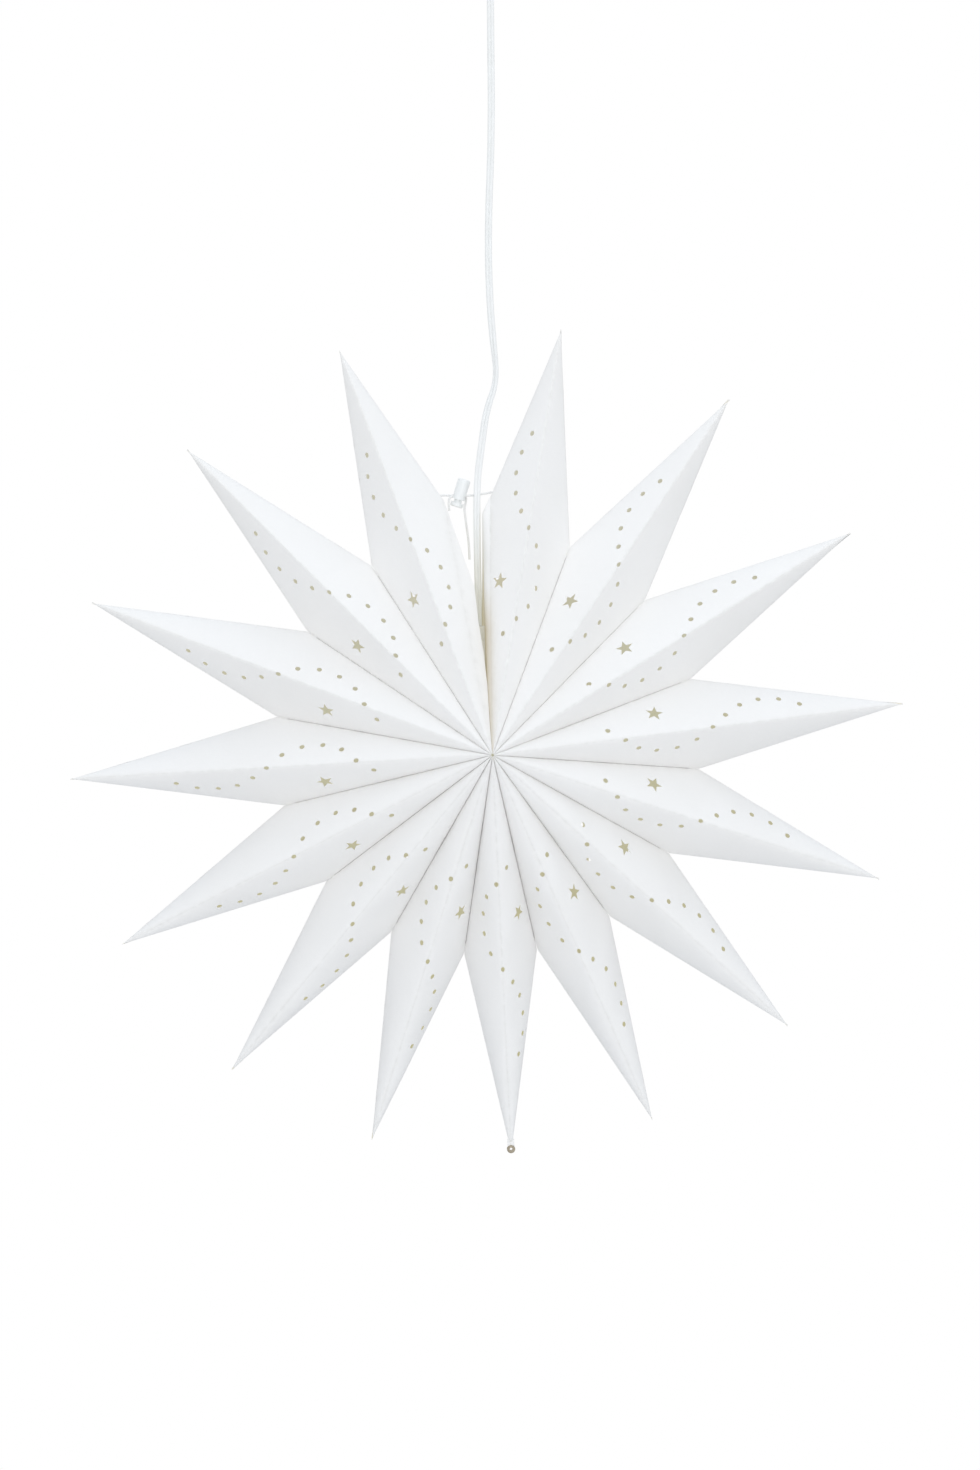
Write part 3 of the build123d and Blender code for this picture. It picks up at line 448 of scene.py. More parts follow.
blackGlass = finishOf(
    "blackGlass", plasticGroup,
    {"Plastic": (0.02, 0.02, 0.025, 1), "Grime": (0.06, 0.05, 0.05, 1), "Gloss": 0.12, "Peel": 500.0},
    0.1, 0.0001,
)
filamentCoat = finishOf(
    "filamentCoat", plasticGroup,
    {"Plastic": (0.86, 0.62, 0.16, 1), "Grime": (0.7, 0.45, 0.1, 1), "Gloss": 0.55, "Peel": 2500.0},
    0.4, 0.0001,
)
leadBrown = finishOf(
    "leadBrown", plasticGroup,
    {"Plastic": (0.16, 0.07, 0.03, 1), "Grime": (0.10, 0.05, 0.03, 1), "Gloss": 0.35, "Peel": 1400.0},
    0.15, 0.0001,
)
leadBlue = finishOf(
    "leadBlue", plasticGroup,
    {"Plastic": (0.05, 0.16, 0.48, 1), "Grime": (0.04, 0.10, 0.3, 1), "Gloss": 0.35, "Peel": 1400.0},
    0.15, 0.0001,
)
clearGlass = finishOf(
    "clearGlass", plasticGroup,
    {"Plastic": (0.97, 0.98, 0.98, 1), "Grime": (0.93, 0.94, 0.94, 1), "Gloss": 0.04, "Peel": 40.0},
    0.02, 0.0001,
    Transmission_Weight=1.0, IOR=1.46,
)
print("materials made")

# flex and tie strings

flex = {"width": 5.0, "thickness": 2.7, "lamp": -8.2, "top": -53.8, "end": 72.0}
flexRoute = [  # heights above the star's middle
    (0, 0, 630 + flex["top"]), (0.3, 0, 510), (1.3, 0, 437), (-1.6, 0, 362), (-0.2, 0, 315), (2.3, 0, 286),
    (5.2, 0, 260), (-2.8, 0, 238), (-5.9, 0, 214), (-9.5, 0, 187), (-9.2, 0, 142), (flex["lamp"], 0, 104),
    (flex["lamp"], 0, flex["end"]),
]


def flexSection(angle, along):
    # two round cores side by side: the outline of the wider of two circles and the web between them,
    # turned by the flex's twist, which is strongest where the flex kinks to one side
    half, core = flex["width"] / 2, flex["thickness"] / 2
    spread = half - core
    reach = spread * np.abs(np.cos(angle)) + np.sqrt(core**2 - (spread * np.sin(angle)) ** 2)
    waist = 1 - 0.035 * np.exp(-((np.cos(angle) / 0.4) ** 2))
    twist = 0.9 * np.exp(-(((along - 312) / 26) ** 2)) + 0.12 * np.sin(along / 38)
    a, b = reach * waist * np.cos(angle), reach * waist * np.sin(angle)
    return a * np.cos(twist) - b * np.sin(twist), a * np.sin(twist) + b * np.cos(twist)


def makeFlex():
    route = [(x, y, h + middle[2]) for x, y, h in flexRoute]
    line, along = smoothLine(route, "flexLine", 1.5)
    points, faces, uv = tube(line, along, {"sides": 40, "shape": flexSection}, (0, 1, 0))
    piece = newPiece("flatFlex", points, faces, [flexSheath], "pendant", uv)
    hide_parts("power_cord")


strings = {
    "tieStringLeft": {
        "node": "tie_string_left", "body": "star_arm_15", "radius": 0.8, "knot": 1.4,
        "route": [
            (-38.5, 0.4, 177.6), (-38.5, 5.4, 177.7), (-31.0, 5.9, 178.1), (-21.5, 5.85, 177.7),
            (-17.0, 5.8, 177.2),
            (-16.6, 5.8, 174.0), (-18.2, 5.5, 169.6), (-17.4, 5.1, 162.4), (-16.2, 4.6, 153.4),
            (-14.8, 3.9, 142.7),
            (-14.4, 3.6, 132.4),
        ],
    },
    "tieStringRight": {
        "node": "tie_string_right", "body": "star_arm_01", "radius": 0.8, "knot": 1.4,
        "route": [
            (5.2, 0.4, 181.0), (5.3, 5.0, 181.1), (-2.5, 4.4, 179.4), (-12.5, 4.1, 177.9), (-21.5, 4.0, 177.6),
            (-27.6, 4.1, 177.6), (-29.2, 3.8, 175.2), (-29.3, 3.3, 171.0), (-28.9, 2.8, 167.2),
        ],
    },
}


def makeStrings():
    for name, string in strings.items():
        route = [(x, y, h + middle[2]) for x, y, h in string["route"]]
        line, along = smoothLine(route, name, 0.35)
        radius, knot = string["radius"], string["knot"]

        def section(angle, distance):
            # two plies laid round each other, swollen to a knot at the string's start
            plies = 0.86 + 0.14 * np.abs(np.cos(angle - distance * 1.9))
            swell = 1 + (knot / radius - 1) * np.exp(-(((distance - 1.0) / 1.1) ** 2))
            reach = radius * plies * swell
            return reach * np.cos(angle), reach * np.sin(angle)

        points, faces, uv = tube(line, along, {"sides": 20, "shape": section}, (0.2, 0.3, 0.93))
        piece = newPiece(name, points, faces, [stringCotton], string["body"], uv)
        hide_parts(string["node"])


makeFlex()
makeStrings()
print("flex and strings made")

# the star: fifteen folded arms of punched card

star = {
    "radius": 300.0, "notch": 153.0, "halfDepth": 73.0, "card": 0.4, "flap": 8.0, "hubHole": 1.0,
    "arms": 15, "bottomArm": 8, "bottomAngle": 176.8, "pitch": 24.95, "crowding": 10.0, "lean": 2.4,
    "endRadius": 178.0, "firstEnd": 0.5, "lastEnd": -10.3,
    # the open flap: share of the seam, width
    "openFlap": [(0.11, 2.6), (0.275, 7.6), (0.405, 9.9), (0.52, 10.5), (0.655, 13.0)],
    "turnedFlap": 10.5, "turnedLean": 3.4, "turnedFlare": 2.6, "turnedBow": 0.5, "turnedStart": 0.8,
    "turnedSlant": 0.2, "turnedSpread": 0.7,
    "turnedCurl": 1.0, "curlWidth": 8, "curlRise": 60, "curlEnd": 6,  # it fades over a sixth of the seam
    # painted shade on the turned seam: where it starts and is full along the arm, its strength and its width
    "shadeFrom": 125.0, "shadeTo": 90.0, "shadeShare": 0.45, "shadeWidth": 3.0,
    "seamGap": 0.02, "seamRoll": 0.08, "seamRollWidth": 0.45, "edgeRoll": 0.22, "edgeRollWidth": 0.6,
    "bluntAt": 290.0,
}
tipTab = {
    "start": 288.5, "eyelet": 295.9, "halfWidth": 2.5, "hole": 1.65, "thickness": 1.2, "chamfer": 0.15,
    "sides": 40,
}
punching = {
    "dotRadius": 1.9, "count": 12, "pitch": 15.25, "first": (87.0, 8.3), "heading": -42.0,
    "innerBend": 22.0, "outerBend": 8.0, "lastBend": 11.0,
    "starPlace": (125.0, 19.2), "starRadius": 6.8, "starWaist": 2.8,
}
softness = {
    "ridgeTop": 0.7, "ridgeBottom": 3.6,  # how round the ridges are on the upper and on the hanging arms
    "bulgeTop": 0.5, "bulgeBottom": 2.3,  # how far the facets belly out
    "ripple": 0.35,
}
sampling = {"edge": 3.0, "inside": 4.6, "dotSides": 20}


def tipAngle(number):
    step = number - star["bottomArm"]
    side = (step > 0) - (step < 0)
    crowded = side * star["crowding"] * (1 - exp(-0.7 * abs(step)))
    return star["bottomAngle"] + star["pitch"] * step - crowded - star["lean"] * step**2 / (step**2 + 6)


def aroundStar(radius, angle):
    return np.array((radius * sin(radians(angle)), 0.0, radius * cos(radians(angle))))


def punchedHoles():
    # the row of dots, walked in equal steps that bend one way and then the other, and the star cutout
    (x, y), holes = punching["first"], []
    around = np.linspace(0, 2 * pi, sampling["dotSides"], endpoint=False)
    ring = np.stack([np.cos(around), np.sin(around)], -1) * punching["dotRadius"]
    for step in range(punching["count"]):
        holes.append(ring + (x, y))
        turned = punching["innerBend"] * min(max(step - 1, 0), 4)
        turned -= punching["outerBend"] * max(step - 5, 0) + punching["lastBend"] * max(step - 7, 0)
        heading = radians(punching["heading"] + turned)
        x, y = x + punching["pitch"] * cos(heading), y + punching["pitch"] * sin(heading)
    turns = np.arange(10) * pi / 5
    reach = np.where(np.arange(10) % 2, punching["starWaist"], punching["starRadius"])
    holes.append(np.stack([reach * np.cos(turns), reach * np.sin(turns)], -1) + punching["starPlace"])
    return holes


def inside(points, polygon):
    # crossing count of a ray along the first axis, for all points at once
    a, b = polygon, np.roll(polygon, -1, axis=0)
    px, py = points[:, :1], points[:, 1:]
    crosses = (a[:, 1] > py) != (b[:, 1] > py)
    with np.errstate(divide="ignore", invalid="ignore"):
        at = (b[:, 0] - a[:, 0]) * (py - a[:, 1]) / (b[:, 1] - a[:, 1]) + a[:, 0]
    return (crosses & (px < at)).sum(axis=1) % 2 == 1


def distanceTo(points, a, b):
    # distance of each point from the stretch between a and b
    along = b - a
    share = np.clip(((points - a) @ along) / (along @ along), 0, 1)
    return np.linalg.norm(points - a - share[:, None] * along, axis=1)


def divided(a, b, step):
    count = max(2, int(round(np.linalg.norm(b - a) / step)) + 1)
    return a + np.linspace(0, 1, count)[:, None] * (b - a)


def joined(corners, step):
    return np.concatenate([divided(a, b, step)[:-1] for a, b in zip(corners, np.roll(corners, -1, axis=0))])


def meet(p, d, q, e):
    # where the line from p along d meets the line from q along e, in the flat
    t = ((q[0] - p[0]) * e[1] - (q[1] - p[1]) * e[0]) / (d[0] * e[1] - d[1] * e[0])
    return p + t * d


def armSides(number):
    sides = []
    for side, seam in ((-1, number - 1), (1, number)):
        if seam == 0:
            sides.append((side, aroundStar(star["endRadius"], star["firstEnd"]), "turned"))
        elif seam == star["arms"]:
            sides.append((side, aroundStar(star["endRadius"], star["lastEnd"]), "open"))
        else:
            sides.append((side, aroundStar(star["notch"], (tipAngle(seam) + tipAngle(seam + 1)) / 2), "glued"))
    return sides


def halfArm(number, face):
    # one face of an arm as it lies unfolded (u along the ridge, v beside it), meshed with its holes, then
    # folded: place = hub + u * ridge + |v| * side, with the ridge rounded as sqrt(v^2 + r^2), the facets
    # bellied by 4w(1 - w) across their width, and each border line drawn in by a narrow bell curve
    hub = np.array((0.0, -face * star["halfDepth"], 0.0))
    tip = aroundStar(star["radius"], tipAngle(number))
    alongArm, length = unit(tip), np.linalg.norm(tip - hub)
    ridge = unit(tip - hub)
    soft = ((1 - cos(radians(tipAngle(number)))) / 2) ** 1.4
    wings = {}
    for side, corner, kind in armSides(number):
        reach = corner - hub
        u = reach @ ridge
        across = reach - u * ridge
        v, way = np.linalg.norm(across), -side * face
        wings[way] = {"side": unit(across), "corner": np.array((u, v)), "kind": kind, "turn": side}
    outward = -unit(wings[1]["side"] + wings[-1]["side"])
    if outward[1] * face > 0:
        outward = -outward
    for way, wing in wings.items():
        u, v = wing["corner"]
        inwards = unit(np.array((v, -u)))
        start = inwards * (star["seamGap"] if wing["kind"] == "glued" else 0.0)
        wing["foldEnd"] = meet(start, wing["corner"], np.array((length, 0.0)), wing["corner"] - (length, 0.0))
        wing["hubEnd"] = meet(start, wing["corner"], np.array((star["hubHole"], 0.0)), np.array((0.0, 1.0)))
        wing["normal"] = unit(np.cross(ridge, wing["side"]))
        wing["normal"] *= np.sign(wing["normal"] @ outward)
        if number == star["bottomArm"]:
            rate = np.array((ridge @ alongArm, wing["side"] @ alongArm))
            flat = np.array((rate[1], -rate[0]))
            end = np.array((length, 0.0))
            wing["blunt"] = meet(rate * star["bluntAt"] / (rate @ rate), flat, end, wing["corner"] - end)
    outline = []
    for way in (1, -1):
        wing = wings[way]
        half = [wing["hubEnd"]]
        if wing["kind"] == "open":
            away = -unit(np.array((wing["corner"][1], -wing["corner"][0])))
            half += [wing["corner"] * share + away * width for share, width in star["openFlap"]]
        half.append(wing["foldEnd"])
        if number == star["bottomArm"]:
            half.append(wing["blunt"])
        half = np.array(half) * (1, way)
        outline.append(half if way == 1 else half[::-1])
    tipPoint = np.array([[length, 0.0]])
    if number == star["bottomArm"]:
        tipPoint = np.array([[star["bluntAt"] / (ridge @ alongArm), 0.0]])
    outline = np.concatenate([outline[0], tipPoint, outline[1]])
    border = joined(outline, sampling["edge"])
    holes = punchedHoles()
    rows = np.arange(0, length, sampling["edge"])
    fills = [np.stack([rows, np.full(len(rows), v)], -1) for v in (0, 0.5, -0.5, 1.3, -1.3, 2.6, -2.6)]
    for way, wing in wings.items():
        for a, b in ((wing["hubEnd"], wing["foldEnd"]), (wing["foldEnd"], np.array((length, 0.0)))):
            inner = unit(np.array((b[1] - a[1], a[0] - b[0])))
            inner = inner if (np.array((wing["corner"][0], 0.0)) - a) @ inner > 0 else -inner
            fills += [(divided(a, b, sampling["edge"]) + inner * step) * (1, way) for step in (0.5, 1.2)]
    step = sampling["inside"]
    u, v = np.meshgrid(np.arange(3, length, step), np.arange(-60, 60, step * 0.866), indexing="ij")
    u = u + (np.round(v / (step * 0.866)).astype(int) % 2) * step / 2
    fills.append(np.stack([u.ravel(), v.ravel()], -1))
    fills.append(np.concatenate([(hole - hole.mean(axis=0)) * 1.5 + hole.mean(axis=0) for hole in holes]))
    fills = np.concatenate(fills)
    fills = fills[np.unique(np.round(fills / 0.4), axis=0, return_index=True)[1]]
    keep = inside(fills, outline)
    for a, b in zip(border, np.roll(border, -1, axis=0)):
        keep &= distanceTo(fills, a, b) > 0.35
    for hole in holes:
        keep &= ~inside(fills, (hole - hole.mean(axis=0)) * 1.22 + hole.mean(axis=0))
    fills = fills[keep]
    loops, flatPoints, edges = [border] + holes, [], []
    for loop in loops:
        first = len(flatPoints)
        flatPoints += loop.tolist()
        edges += [(first + i, first + (i + 1) % len(loop)) for i in range(len(loop))]
    flatPoints += fills.tolist()
    result = delaunay_2d_cdt([Vector(p) for p in flatPoints], edges, [], 0, 1e-4)
    flat = np.array([tuple(p) for p in result[0]])
    triangles = np.array([tuple(t) for t in result[2]])
    centres = flat[triangles].mean(axis=1)
    keep = inside(centres, outline)
    for hole in holes:
        keep &= ~inside(centres, hole)
    triangles = triangles[keep]
    u, v = flat[:, 0], flat[:, 1]
    way = np.where(v >= 0, 1, -1)

    def pick(key):
        return np.where((way == 1)[:, None], wings[1][key], wings[-1][key])

    cornerU, cornerV = pick("corner").T
    width = np.where(u < cornerU, cornerV * u / cornerU, cornerV * (length - u) / (length - cornerU))
    width = np.maximum(width, 0.05)
    share = np.clip(np.abs(v) / width, 0, 1)
    softened = softness["ridgeTop"] + soft * (softness["ridgeBottom"] - softness["ridgeTop"])
    softened = np.minimum(softened, 0.3 * width)
    belly = softness["bulgeTop"] + soft * (softness["bulgeBottom"] - softness["bulgeTop"])
    place = hub + u[:, None] * ridge + np.abs(v)[:, None] * pick("side")
    lean = -(pick("side") @ outward)
    rounded = (np.sqrt(v**2 + softened**2) - np.abs(v)) * (1 - share**2) ** 2 * lean
    place -= rounded[:, None] * outward
    phase = number * 1.7 + (0 if face > 0 else 2.4)
    ripple = np.sin(u / 19 + phase) * np.cos(v / 11 + 1.3 * phase) + 0.6 * np.sin(u / 8.3 - 2 * phase + v / 9)
    window = 4 * share * (1 - share) * np.clip(width / 22, 0, 1)
    place += (window * (belly + (0.35 + soft) * softness["ripple"] * ripple))[:, None] * pick("normal")
    folds, seamShading = np.exp(-np.abs(v) / 1.0), np.zeros(len(flat))
    for w, wing in wings.items():
        own = way == w
        across = np.stack([u, np.abs(v)], -1)
        seam = distanceTo(across, wing["hubEnd"], wing["foldEnd"])
        edge = distanceTo(across, wing["foldEnd"], np.array((length, 0.0)))
        if wing["kind"] == "glued":
            drawn = own * star["seamRoll"] * np.exp(-((seam / star["seamRollWidth"]) ** 2))
            place -= drawn[:, None] * wing["normal"]
        if wing["kind"] == "turned":
            gone = np.clip(across @ wing["corner"] / (wing["corner"] @ wing["corner"]), 0, 1)
            bow = np.sin(pi * gone)
            outwards = unit(np.cross((0, 1, 0), alongArm)) * wing["turn"]
            place += (own * star["turnedBow"] * bow * share**3)[:, None] * outwards
            curl = star["turnedCurl"] * np.clip(1 - seam / star["curlWidth"], 0, 1) ** 2
            curl *= np.clip(u / star["curlRise"], 0, 1) * np.clip((1 - gone) * star["curlEnd"], 0, 1)
            place[:, 1] += own * face * curl
            # painted shade: a warm tint along the turned seam, lower on the arm
            low = np.clip((star["shadeFrom"] - u) / (star["shadeFrom"] - star["shadeTo"]), 0, 1)
            seamShading += own * low * star["shadeShare"] * np.exp(-seam / star["shadeWidth"])
        sideways = unit(wing["normal"] * (1, 0, 1))
        place -= (own * star["edgeRoll"] * np.exp(-((edge / star["edgeRollWidth"]) ** 2)))[:, None] * sideways
        # the folds, seams and edges carry crease wear and painted shade
        folds = np.maximum(folds, own * np.maximum(np.exp(-seam / 1.2), np.exp(-edge / 0.8)))
    facets = triangles.copy()
    normals = np.cross(place[facets[:, 1]] - place[facets[:, 0]], place[facets[:, 2]] - place[facets[:, 0]])
    turn = (normals * pick("normal")[facets[:, 0]]).sum(axis=1) < 0
    facets[turn] = facets[turn][:, ::-1]
    points, faces, flats, wearAndShade, seamShadings = [place], [facets], [flat + (0, 400 * (face < 0))], [folds], [seamShading]
    total = len(place)
    for w, wing in wings.items():
        if wing["kind"] == "open":
            continue
        edgeFlat = divided(wing["hubEnd"], wing["foldEnd"], sampling["edge"])
        edgeFlat = edgeFlat * (1, w)
        near = np.array([np.argmin(((flat - p) ** 2).sum(axis=1)) for p in edgeFlat])
        edgeLine = place[near]
        run = np.linalg.norm(edgeFlat - edgeFlat[0], axis=1)
        turned = wing["kind"] == "turned"
        deepest, slant = (star["turnedFlap"], star["turnedSlant"]) if turned else (star["flap"], 1.0)
        depth = np.clip(np.minimum(run, (run[-1] - run) * slant), 0.4, deepest)
        outer = unit(np.cross((0, 1, 0), alongArm)) * wing["turn"]
        shares = np.array((0.0, 0.06, 0.15, 0.3, 0.5, 0.75, 1.0))
        if turned:
            # a soft roll: a quarter of an ellipse, started on the slant of the facet
            shares = np.linspace(0, 1, 9)
            lean = star["turnedLean"] * np.sin(shares * pi / 2)
            shares = star["turnedStart"] * shares + (1 - star["turnedStart"]) * (1 - np.cos(shares * pi / 2))
        sheet = edgeLine[:, None] + (depth[:, None] * shares)[..., None] * np.array((0.0, face, 0.0))
        if turned:
            flare = 1 + star["turnedFlare"] / star["turnedLean"] * (run / run[-1]) ** 2
            spread = np.clip(np.minimum(run, (run[-1] - run) * star["turnedSpread"]) / deepest, 0.04, 1)
            sheet += ((spread * flare)[:, None] * lean)[..., None] * outer
        rowsIn, columns = len(edgeLine), len(shares)
        i, j = np.meshgrid(np.arange(rowsIn - 1), np.arange(columns - 1), indexing="ij")
        here, after = i * columns + j, (i + 1) * columns + j
        quad = np.stack([here, after, after + 1, here + 1], -1).reshape(-1, 4)
        sheet = sheet.reshape(-1, 3)
        normals = np.cross(sheet[quad[:, 1]] - sheet[quad[:, 0]], sheet[quad[:, 2]] - sheet[quad[:, 0]])
        turn = (normals @ outer) < 0
        quad[turn] = quad[turn][:, ::-1]
        points.append(sheet)
        triangle = np.concatenate([quad[:, (0, 1, 2)], quad[:, (0, 2, 3)]])
        faces.append(triangle + total)
        beyond = np.stack([np.zeros(len(sheet)), np.tile(shares * star["flap"] * w, rowsIn)], -1)
        flats.append(np.repeat(edgeFlat, columns, axis=0) + beyond + (0, 400 * (face < 0)))
        wearAndShade.append(np.zeros(len(sheet)))
        # painted shade on the rolled flap, strongest at its far edge
        low = np.clip((star["shadeFrom"] - run) / (star["shadeFrom"] - star["shadeTo"]), 0, 1) * turned
        deeper = star["shadeShare"] + (1 - star["shadeShare"]) * np.linspace(0, 1, columns)
        seamShadings.append((low[:, None] * deeper).ravel())
        total += len(sheet)
    return [np.concatenate(part) for part in (points, faces, flats, wearAndShade, seamShadings)]


def weld(points, faces, extras, size):
    # points that fall in one place become one; faces that collapse are dropped
    cells = np.round(points / size).astype(np.int64)
    _, first, back = np.unique(cells, axis=0, return_index=True, return_inverse=True)
    faces = back.reshape(-1)[faces]
    real = (faces[:, 0] != faces[:, 1]) & (faces[:, 1] != faces[:, 2]) & (faces[:, 2] != faces[:, 0])
    return points[first], faces[real], [extra[first] for extra in extras]


def makeArm(number):
    halves = [halfArm(number, face) for face in (1, -1)]
    shift = len(halves[0][0])
    points = np.concatenate([halves[0][0], halves[1][0]])
    faces = np.concatenate([halves[0][1], halves[1][1] + shift])
    flats = np.concatenate([halves[0][2], halves[1][2]])
    wearAndShade = np.concatenate([halves[0][3], halves[1][3]])
    seamShadings = np.concatenate([halves[0][4], halves[1][4]])
    points, faces, (flats, wearAndShade, seamShadings) = weld(points, faces, [flats, wearAndShade, seamShadings], 0.02)
    body = "star_base" if number == star["bottomArm"] else f"star_arm_{number:02d}"
    piece = newPiece(
        f"cardArm{number:02d}", points + middle, faces, [cardOutside, cardInside], None,
        (flats + (number * 37.0, 0)) * mm, {"foldWearAndShade": wearAndShade, "seamShadeMask": seamShadings},
    )
    sheet = piece.modifiers.new("thickness", "SOLIDIFY")
    sheet.thickness = star["card"] * mm
    sheet.offset = -1
    sheet.material_offset = 1
    sheet.material_offset_rim = 0
    bakeModifiers(piece, 38)
    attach(piece, body)
    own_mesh(piece)
    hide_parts(f"arm_{number:02d}")
    return piece


def makeTipTab():
    # the bottom point's end, pressed flat: an outline met by rays from the eyelet, with the eyelet's hole
    tip = unit(aroundStar(1, tipAngle(star["bottomArm"])))
    sideways = np.cross((0, 1, 0), tip)
    centre = middle + tip * tipTab["eyelet"]
    turns = np.linspace(0, 2 * pi, tipTab["sides"], endpoint=False) + 0.01
    c, s = np.cos(turns), np.sin(turns)
    back = (tipTab["eyelet"] - tipTab["start"]) / np.maximum(-c, 0.02)
    beside = tipTab["halfWidth"] / np.maximum(np.abs(s), 0.02)
    outer = np.where(c > 0, tipTab["halfWidth"], np.minimum(beside, back))
    hole = np.full(len(turns), tipTab["hole"])
    half = tipTab["thickness"] / 2
    edge = tipTab["chamfer"]
    rings = [
        (outer - edge, -half), (outer, -half + edge), (outer, half - edge), (outer - edge, half),
        (hole, half), (hole, -half),
    ]
    points = np.concatenate([
        centre + (reach * c)[:, None] * tip + (reach * s)[:, None] * sideways + np.array((0, depth, 0))
        for reach, depth in rings
    ])
    j = np.arange(len(turns))
    k = (j + 1) % len(turns)
    n = len(turns)
    faces = []
    for ring in range(len(rings)):
        a, b = ring * n, (ring + 1) % len(rings) * n
        faces += np.stack([a + j, a + k, b + k, b + j], -1).tolist()
    flat = np.concatenate([np.stack([reach * c, reach * s], -1) for reach, depth in rings]) * mm
    plain = np.zeros(len(points))
    piece = newPiece(
        "tipTab", points, faces, [cardOutside], "star_base", flat, {"foldWearAndShade": plain, "seamShadeMask": plain},
    )
    piece.data.set_sharp_from_angle(angle=radians(50))


for number in range(1, star["arms"] + 1):
    made = makeArm(number)
makeTipTab()
print("arms made, faces in the last one:", len(made.data.polygons))

# finishes of the pieces that stay as built

nodeFinishes = {
    "tip_eyelet": eyeletMetal, "cord_lock_body": lockPlastic, "cord_lock_button": lockPlastic,
    "cord_lock_spring": zincSteel, "cord_head": flexSheath, "bulb_glass": clearGlass, "bulb_stem": clearGlass,
    "bulb_filaments": filamentCoat, "bulb_cap": capAluminium, "bulb_insulator": blackGlass,
    "bulb_contact": zincSteel,
    "lampholder_skirt": whitePlastic, "lampholder_insert": holderCeramic, "screw_sleeve": terminalBrass,
    "centre_contact": terminalBrass, "lampholder_dome": whitePlastic, "cord_grip": whitePlastic,
    "lamp_terminal_left": terminalBrass, "lamp_terminal_right": terminalBrass, "lamp_lead_left": leadBrown,
    "lamp_lead_right": leadBlue, "ceiling_plate": zincSteel, "ceiling_hook": zincSteel,
    "terminal_block": nylonWhite,
    "block_screw_front": zincSteel, "block_screw_back": zincSteel, "cord_hanger": whitePlastic,
    "clamp_bar": whitePlastic, "clamp_screw_left": zincSteel, "clamp_screw_right": zincSteel,
    "lead_front": leadBlue, "lead_back": leadBrown, "ceiling_cup": whitePlastic, "cup_screw": nylonWhite,
}
for node, finish in nodeFinishes.items():
    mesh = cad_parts[node].data
    mesh.materials.clear()
    mesh.materials.append(finish)
print("node finishes set")

# floor, backdrop and light

light = {
    "floorHeight": -1.5, "floorRadius": 2.3,
    "top": {"place": (0.2, -0.4, 1.3), "size": 2.6, "power": 10.0, "colour": (0.92, 0.97, 1.0)},
    "front": {"place": (0.1, -3.0, -0.1), "size": 2.4, "power": 26.0, "colour": (1.0, 1.0, 1.0)},
    "sky": (0.69, 0.73, 0.79), "ground": (0.665, 0.655, 0.63),
}


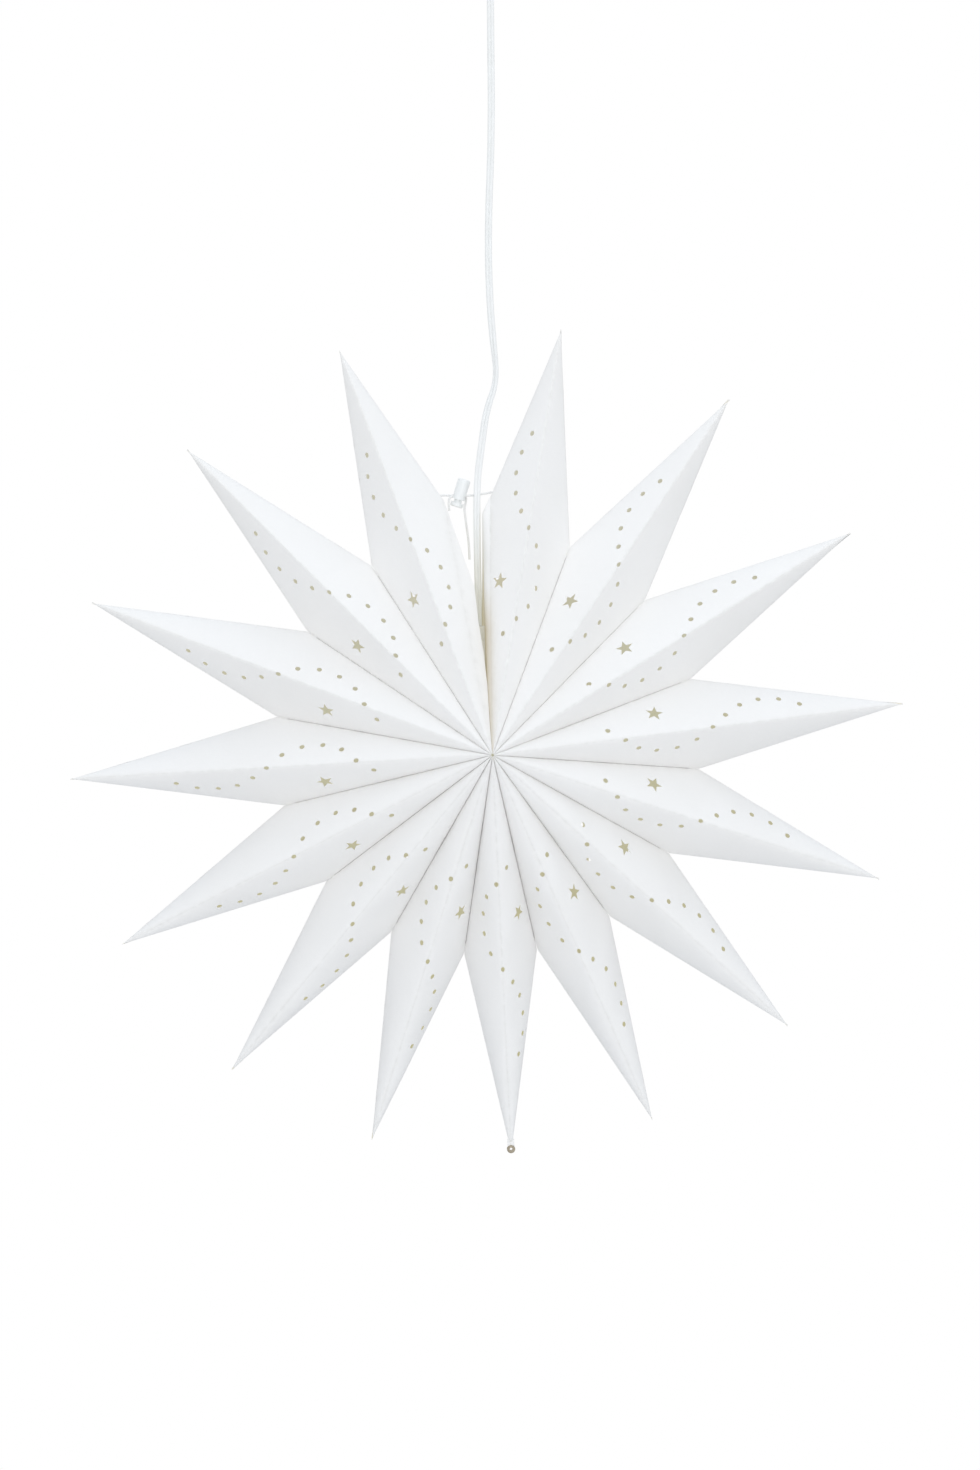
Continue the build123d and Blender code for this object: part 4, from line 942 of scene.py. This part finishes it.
def makeFloor():
    rings, sides = 24, 96
    radius = np.linspace(0, light["floorRadius"], rings + 1)[1:]
    around = np.linspace(0, 2 * pi, sides, endpoint=False)
    r, a = np.meshgrid(radius, around, indexing="ij")
    points = np.concatenate([[[0, 0, 0]], np.stack([r * np.cos(a), r * np.sin(a), 0 * r], -1).reshape(-1, 3)])
    points[:, 2] = light["floorHeight"]
    j = np.arange(sides)
    k = (j + 1) % sides
    faces = np.stack([np.zeros(sides, int), 1 + j, 1 + k], -1).tolist()
    i, j = np.meshgrid(np.arange(rings - 1), np.arange(sides), indexing="ij")
    k = (j + 1) % sides
    quads = [1 + i * sides + j, 1 + (i + 1) * sides + j, 1 + (i + 1) * sides + k, 1 + i * sides + k]
    faces += np.stack(quads, -1).reshape(-1, 4).tolist()
    material = bpy.data.materials.new("paleFloor")
    material.use_nodes = True
    tree = material.node_tree
    shader, out = tree.nodes["Principled BSDF"], tree.nodes["Material Output"]
    where = addNode(tree, "ShaderNodeTexCoord").outputs["Object"]
    grain = noise(tree, where, 6.0, 3.0)
    tone = mixColour(tree, remap(tree, grain, 0.3, 0.7, 0.0, 1.0), (0.84, 0.84, 0.84, 1), (0.80, 0.80, 0.80, 1))
    tree.links.new(tone, shader.inputs["Base Color"])
    shader.inputs["Roughness"].default_value = 0.8
    white = addNode(tree, "ShaderNodeEmission", {"Color": (1, 1, 1, 1), "Strength": 1.0})
    flat = addNode(tree, "ShaderNodeVectorMath", {0: where, 1: (1, 1, 0)}, operation="MULTIPLY").outputs[0]
    reach = addNode(tree, "ShaderNodeVectorMath", {0: flat}, operation="LENGTH").outputs["Value"]
    rim = remap(tree, reach, 0.35, 1.0, 0.0, 1.0)
    path = addNode(tree, "ShaderNodeLightPath")
    seen = arithmetic(tree, "MAXIMUM", path.outputs["Is Camera Ray"], path.outputs["Is Glossy Ray"])
    share = arithmetic(tree, "MULTIPLY", rim, seen)
    inputs = {0: share, 1: shader.outputs["BSDF"], 2: white.outputs["Emission"]}
    mixed = addNode(tree, "ShaderNodeMixShader", inputs)
    tree.links.new(mixed.outputs["Shader"], out.inputs["Surface"])
    newPiece("paleFloor", points / mm, faces, [material], None, smooth=False)


def areaLight(name, spec):
    lamp = bpy.data.lights.new(name, "AREA")
    lamp.shape = "SQUARE"
    lamp.size = spec["size"]
    lamp.energy = spec["power"]
    lamp.color = spec["colour"]
    holder = bpy.data.objects.new(name, lamp)
    bpy.context.collection.objects.link(holder)
    holder.location = spec["place"]
    toStar = Vector(middle * mm) - holder.location
    holder.rotation_euler = toStar.to_track_quat("-Z", "Y").to_euler()


def makeWorld():
    # the light comes from a soft sky over a warmer ground; the eye sees plain white
    world = bpy.data.worlds.new("studio")
    bpy.context.scene.world = world
    world.use_nodes = True
    tree = world.node_tree
    tree.nodes.clear()
    out = addNode(tree, "ShaderNodeOutputWorld")
    way = addNode(tree, "ShaderNodeTexCoord").outputs["Generated"]
    height = addNode(tree, "ShaderNodeSeparateXYZ", {0: way}).outputs["Z"]
    tone = mixColour(tree, remap(tree, height, -0.6, 0.7, 0.0, 1.0), (*light["ground"], 1), (*light["sky"], 1))
    soft = addNode(tree, "ShaderNodeBackground", {"Color": tone, "Strength": 1.0})
    white = addNode(tree, "ShaderNodeBackground", {"Color": (1, 1, 1, 1), "Strength": 1.0})
    path = addNode(tree, "ShaderNodeLightPath")
    seen = arithmetic(tree, "MAXIMUM", path.outputs["Is Camera Ray"], path.outputs["Is Glossy Ray"])
    seen = arithmetic(tree, "MAXIMUM", seen, path.outputs["Is Transmission Ray"])
    mixed = addNode(tree, "ShaderNodeMixShader", {0: seen, 1: soft.outputs[0], 2: white.outputs[0]})
    tree.links.new(mixed.outputs[0], out.inputs["Surface"])


makeFloor()
areaLight("topLight", light["top"])
areaLight("frontLight", light["front"])
makeWorld()
print("floor and light made")
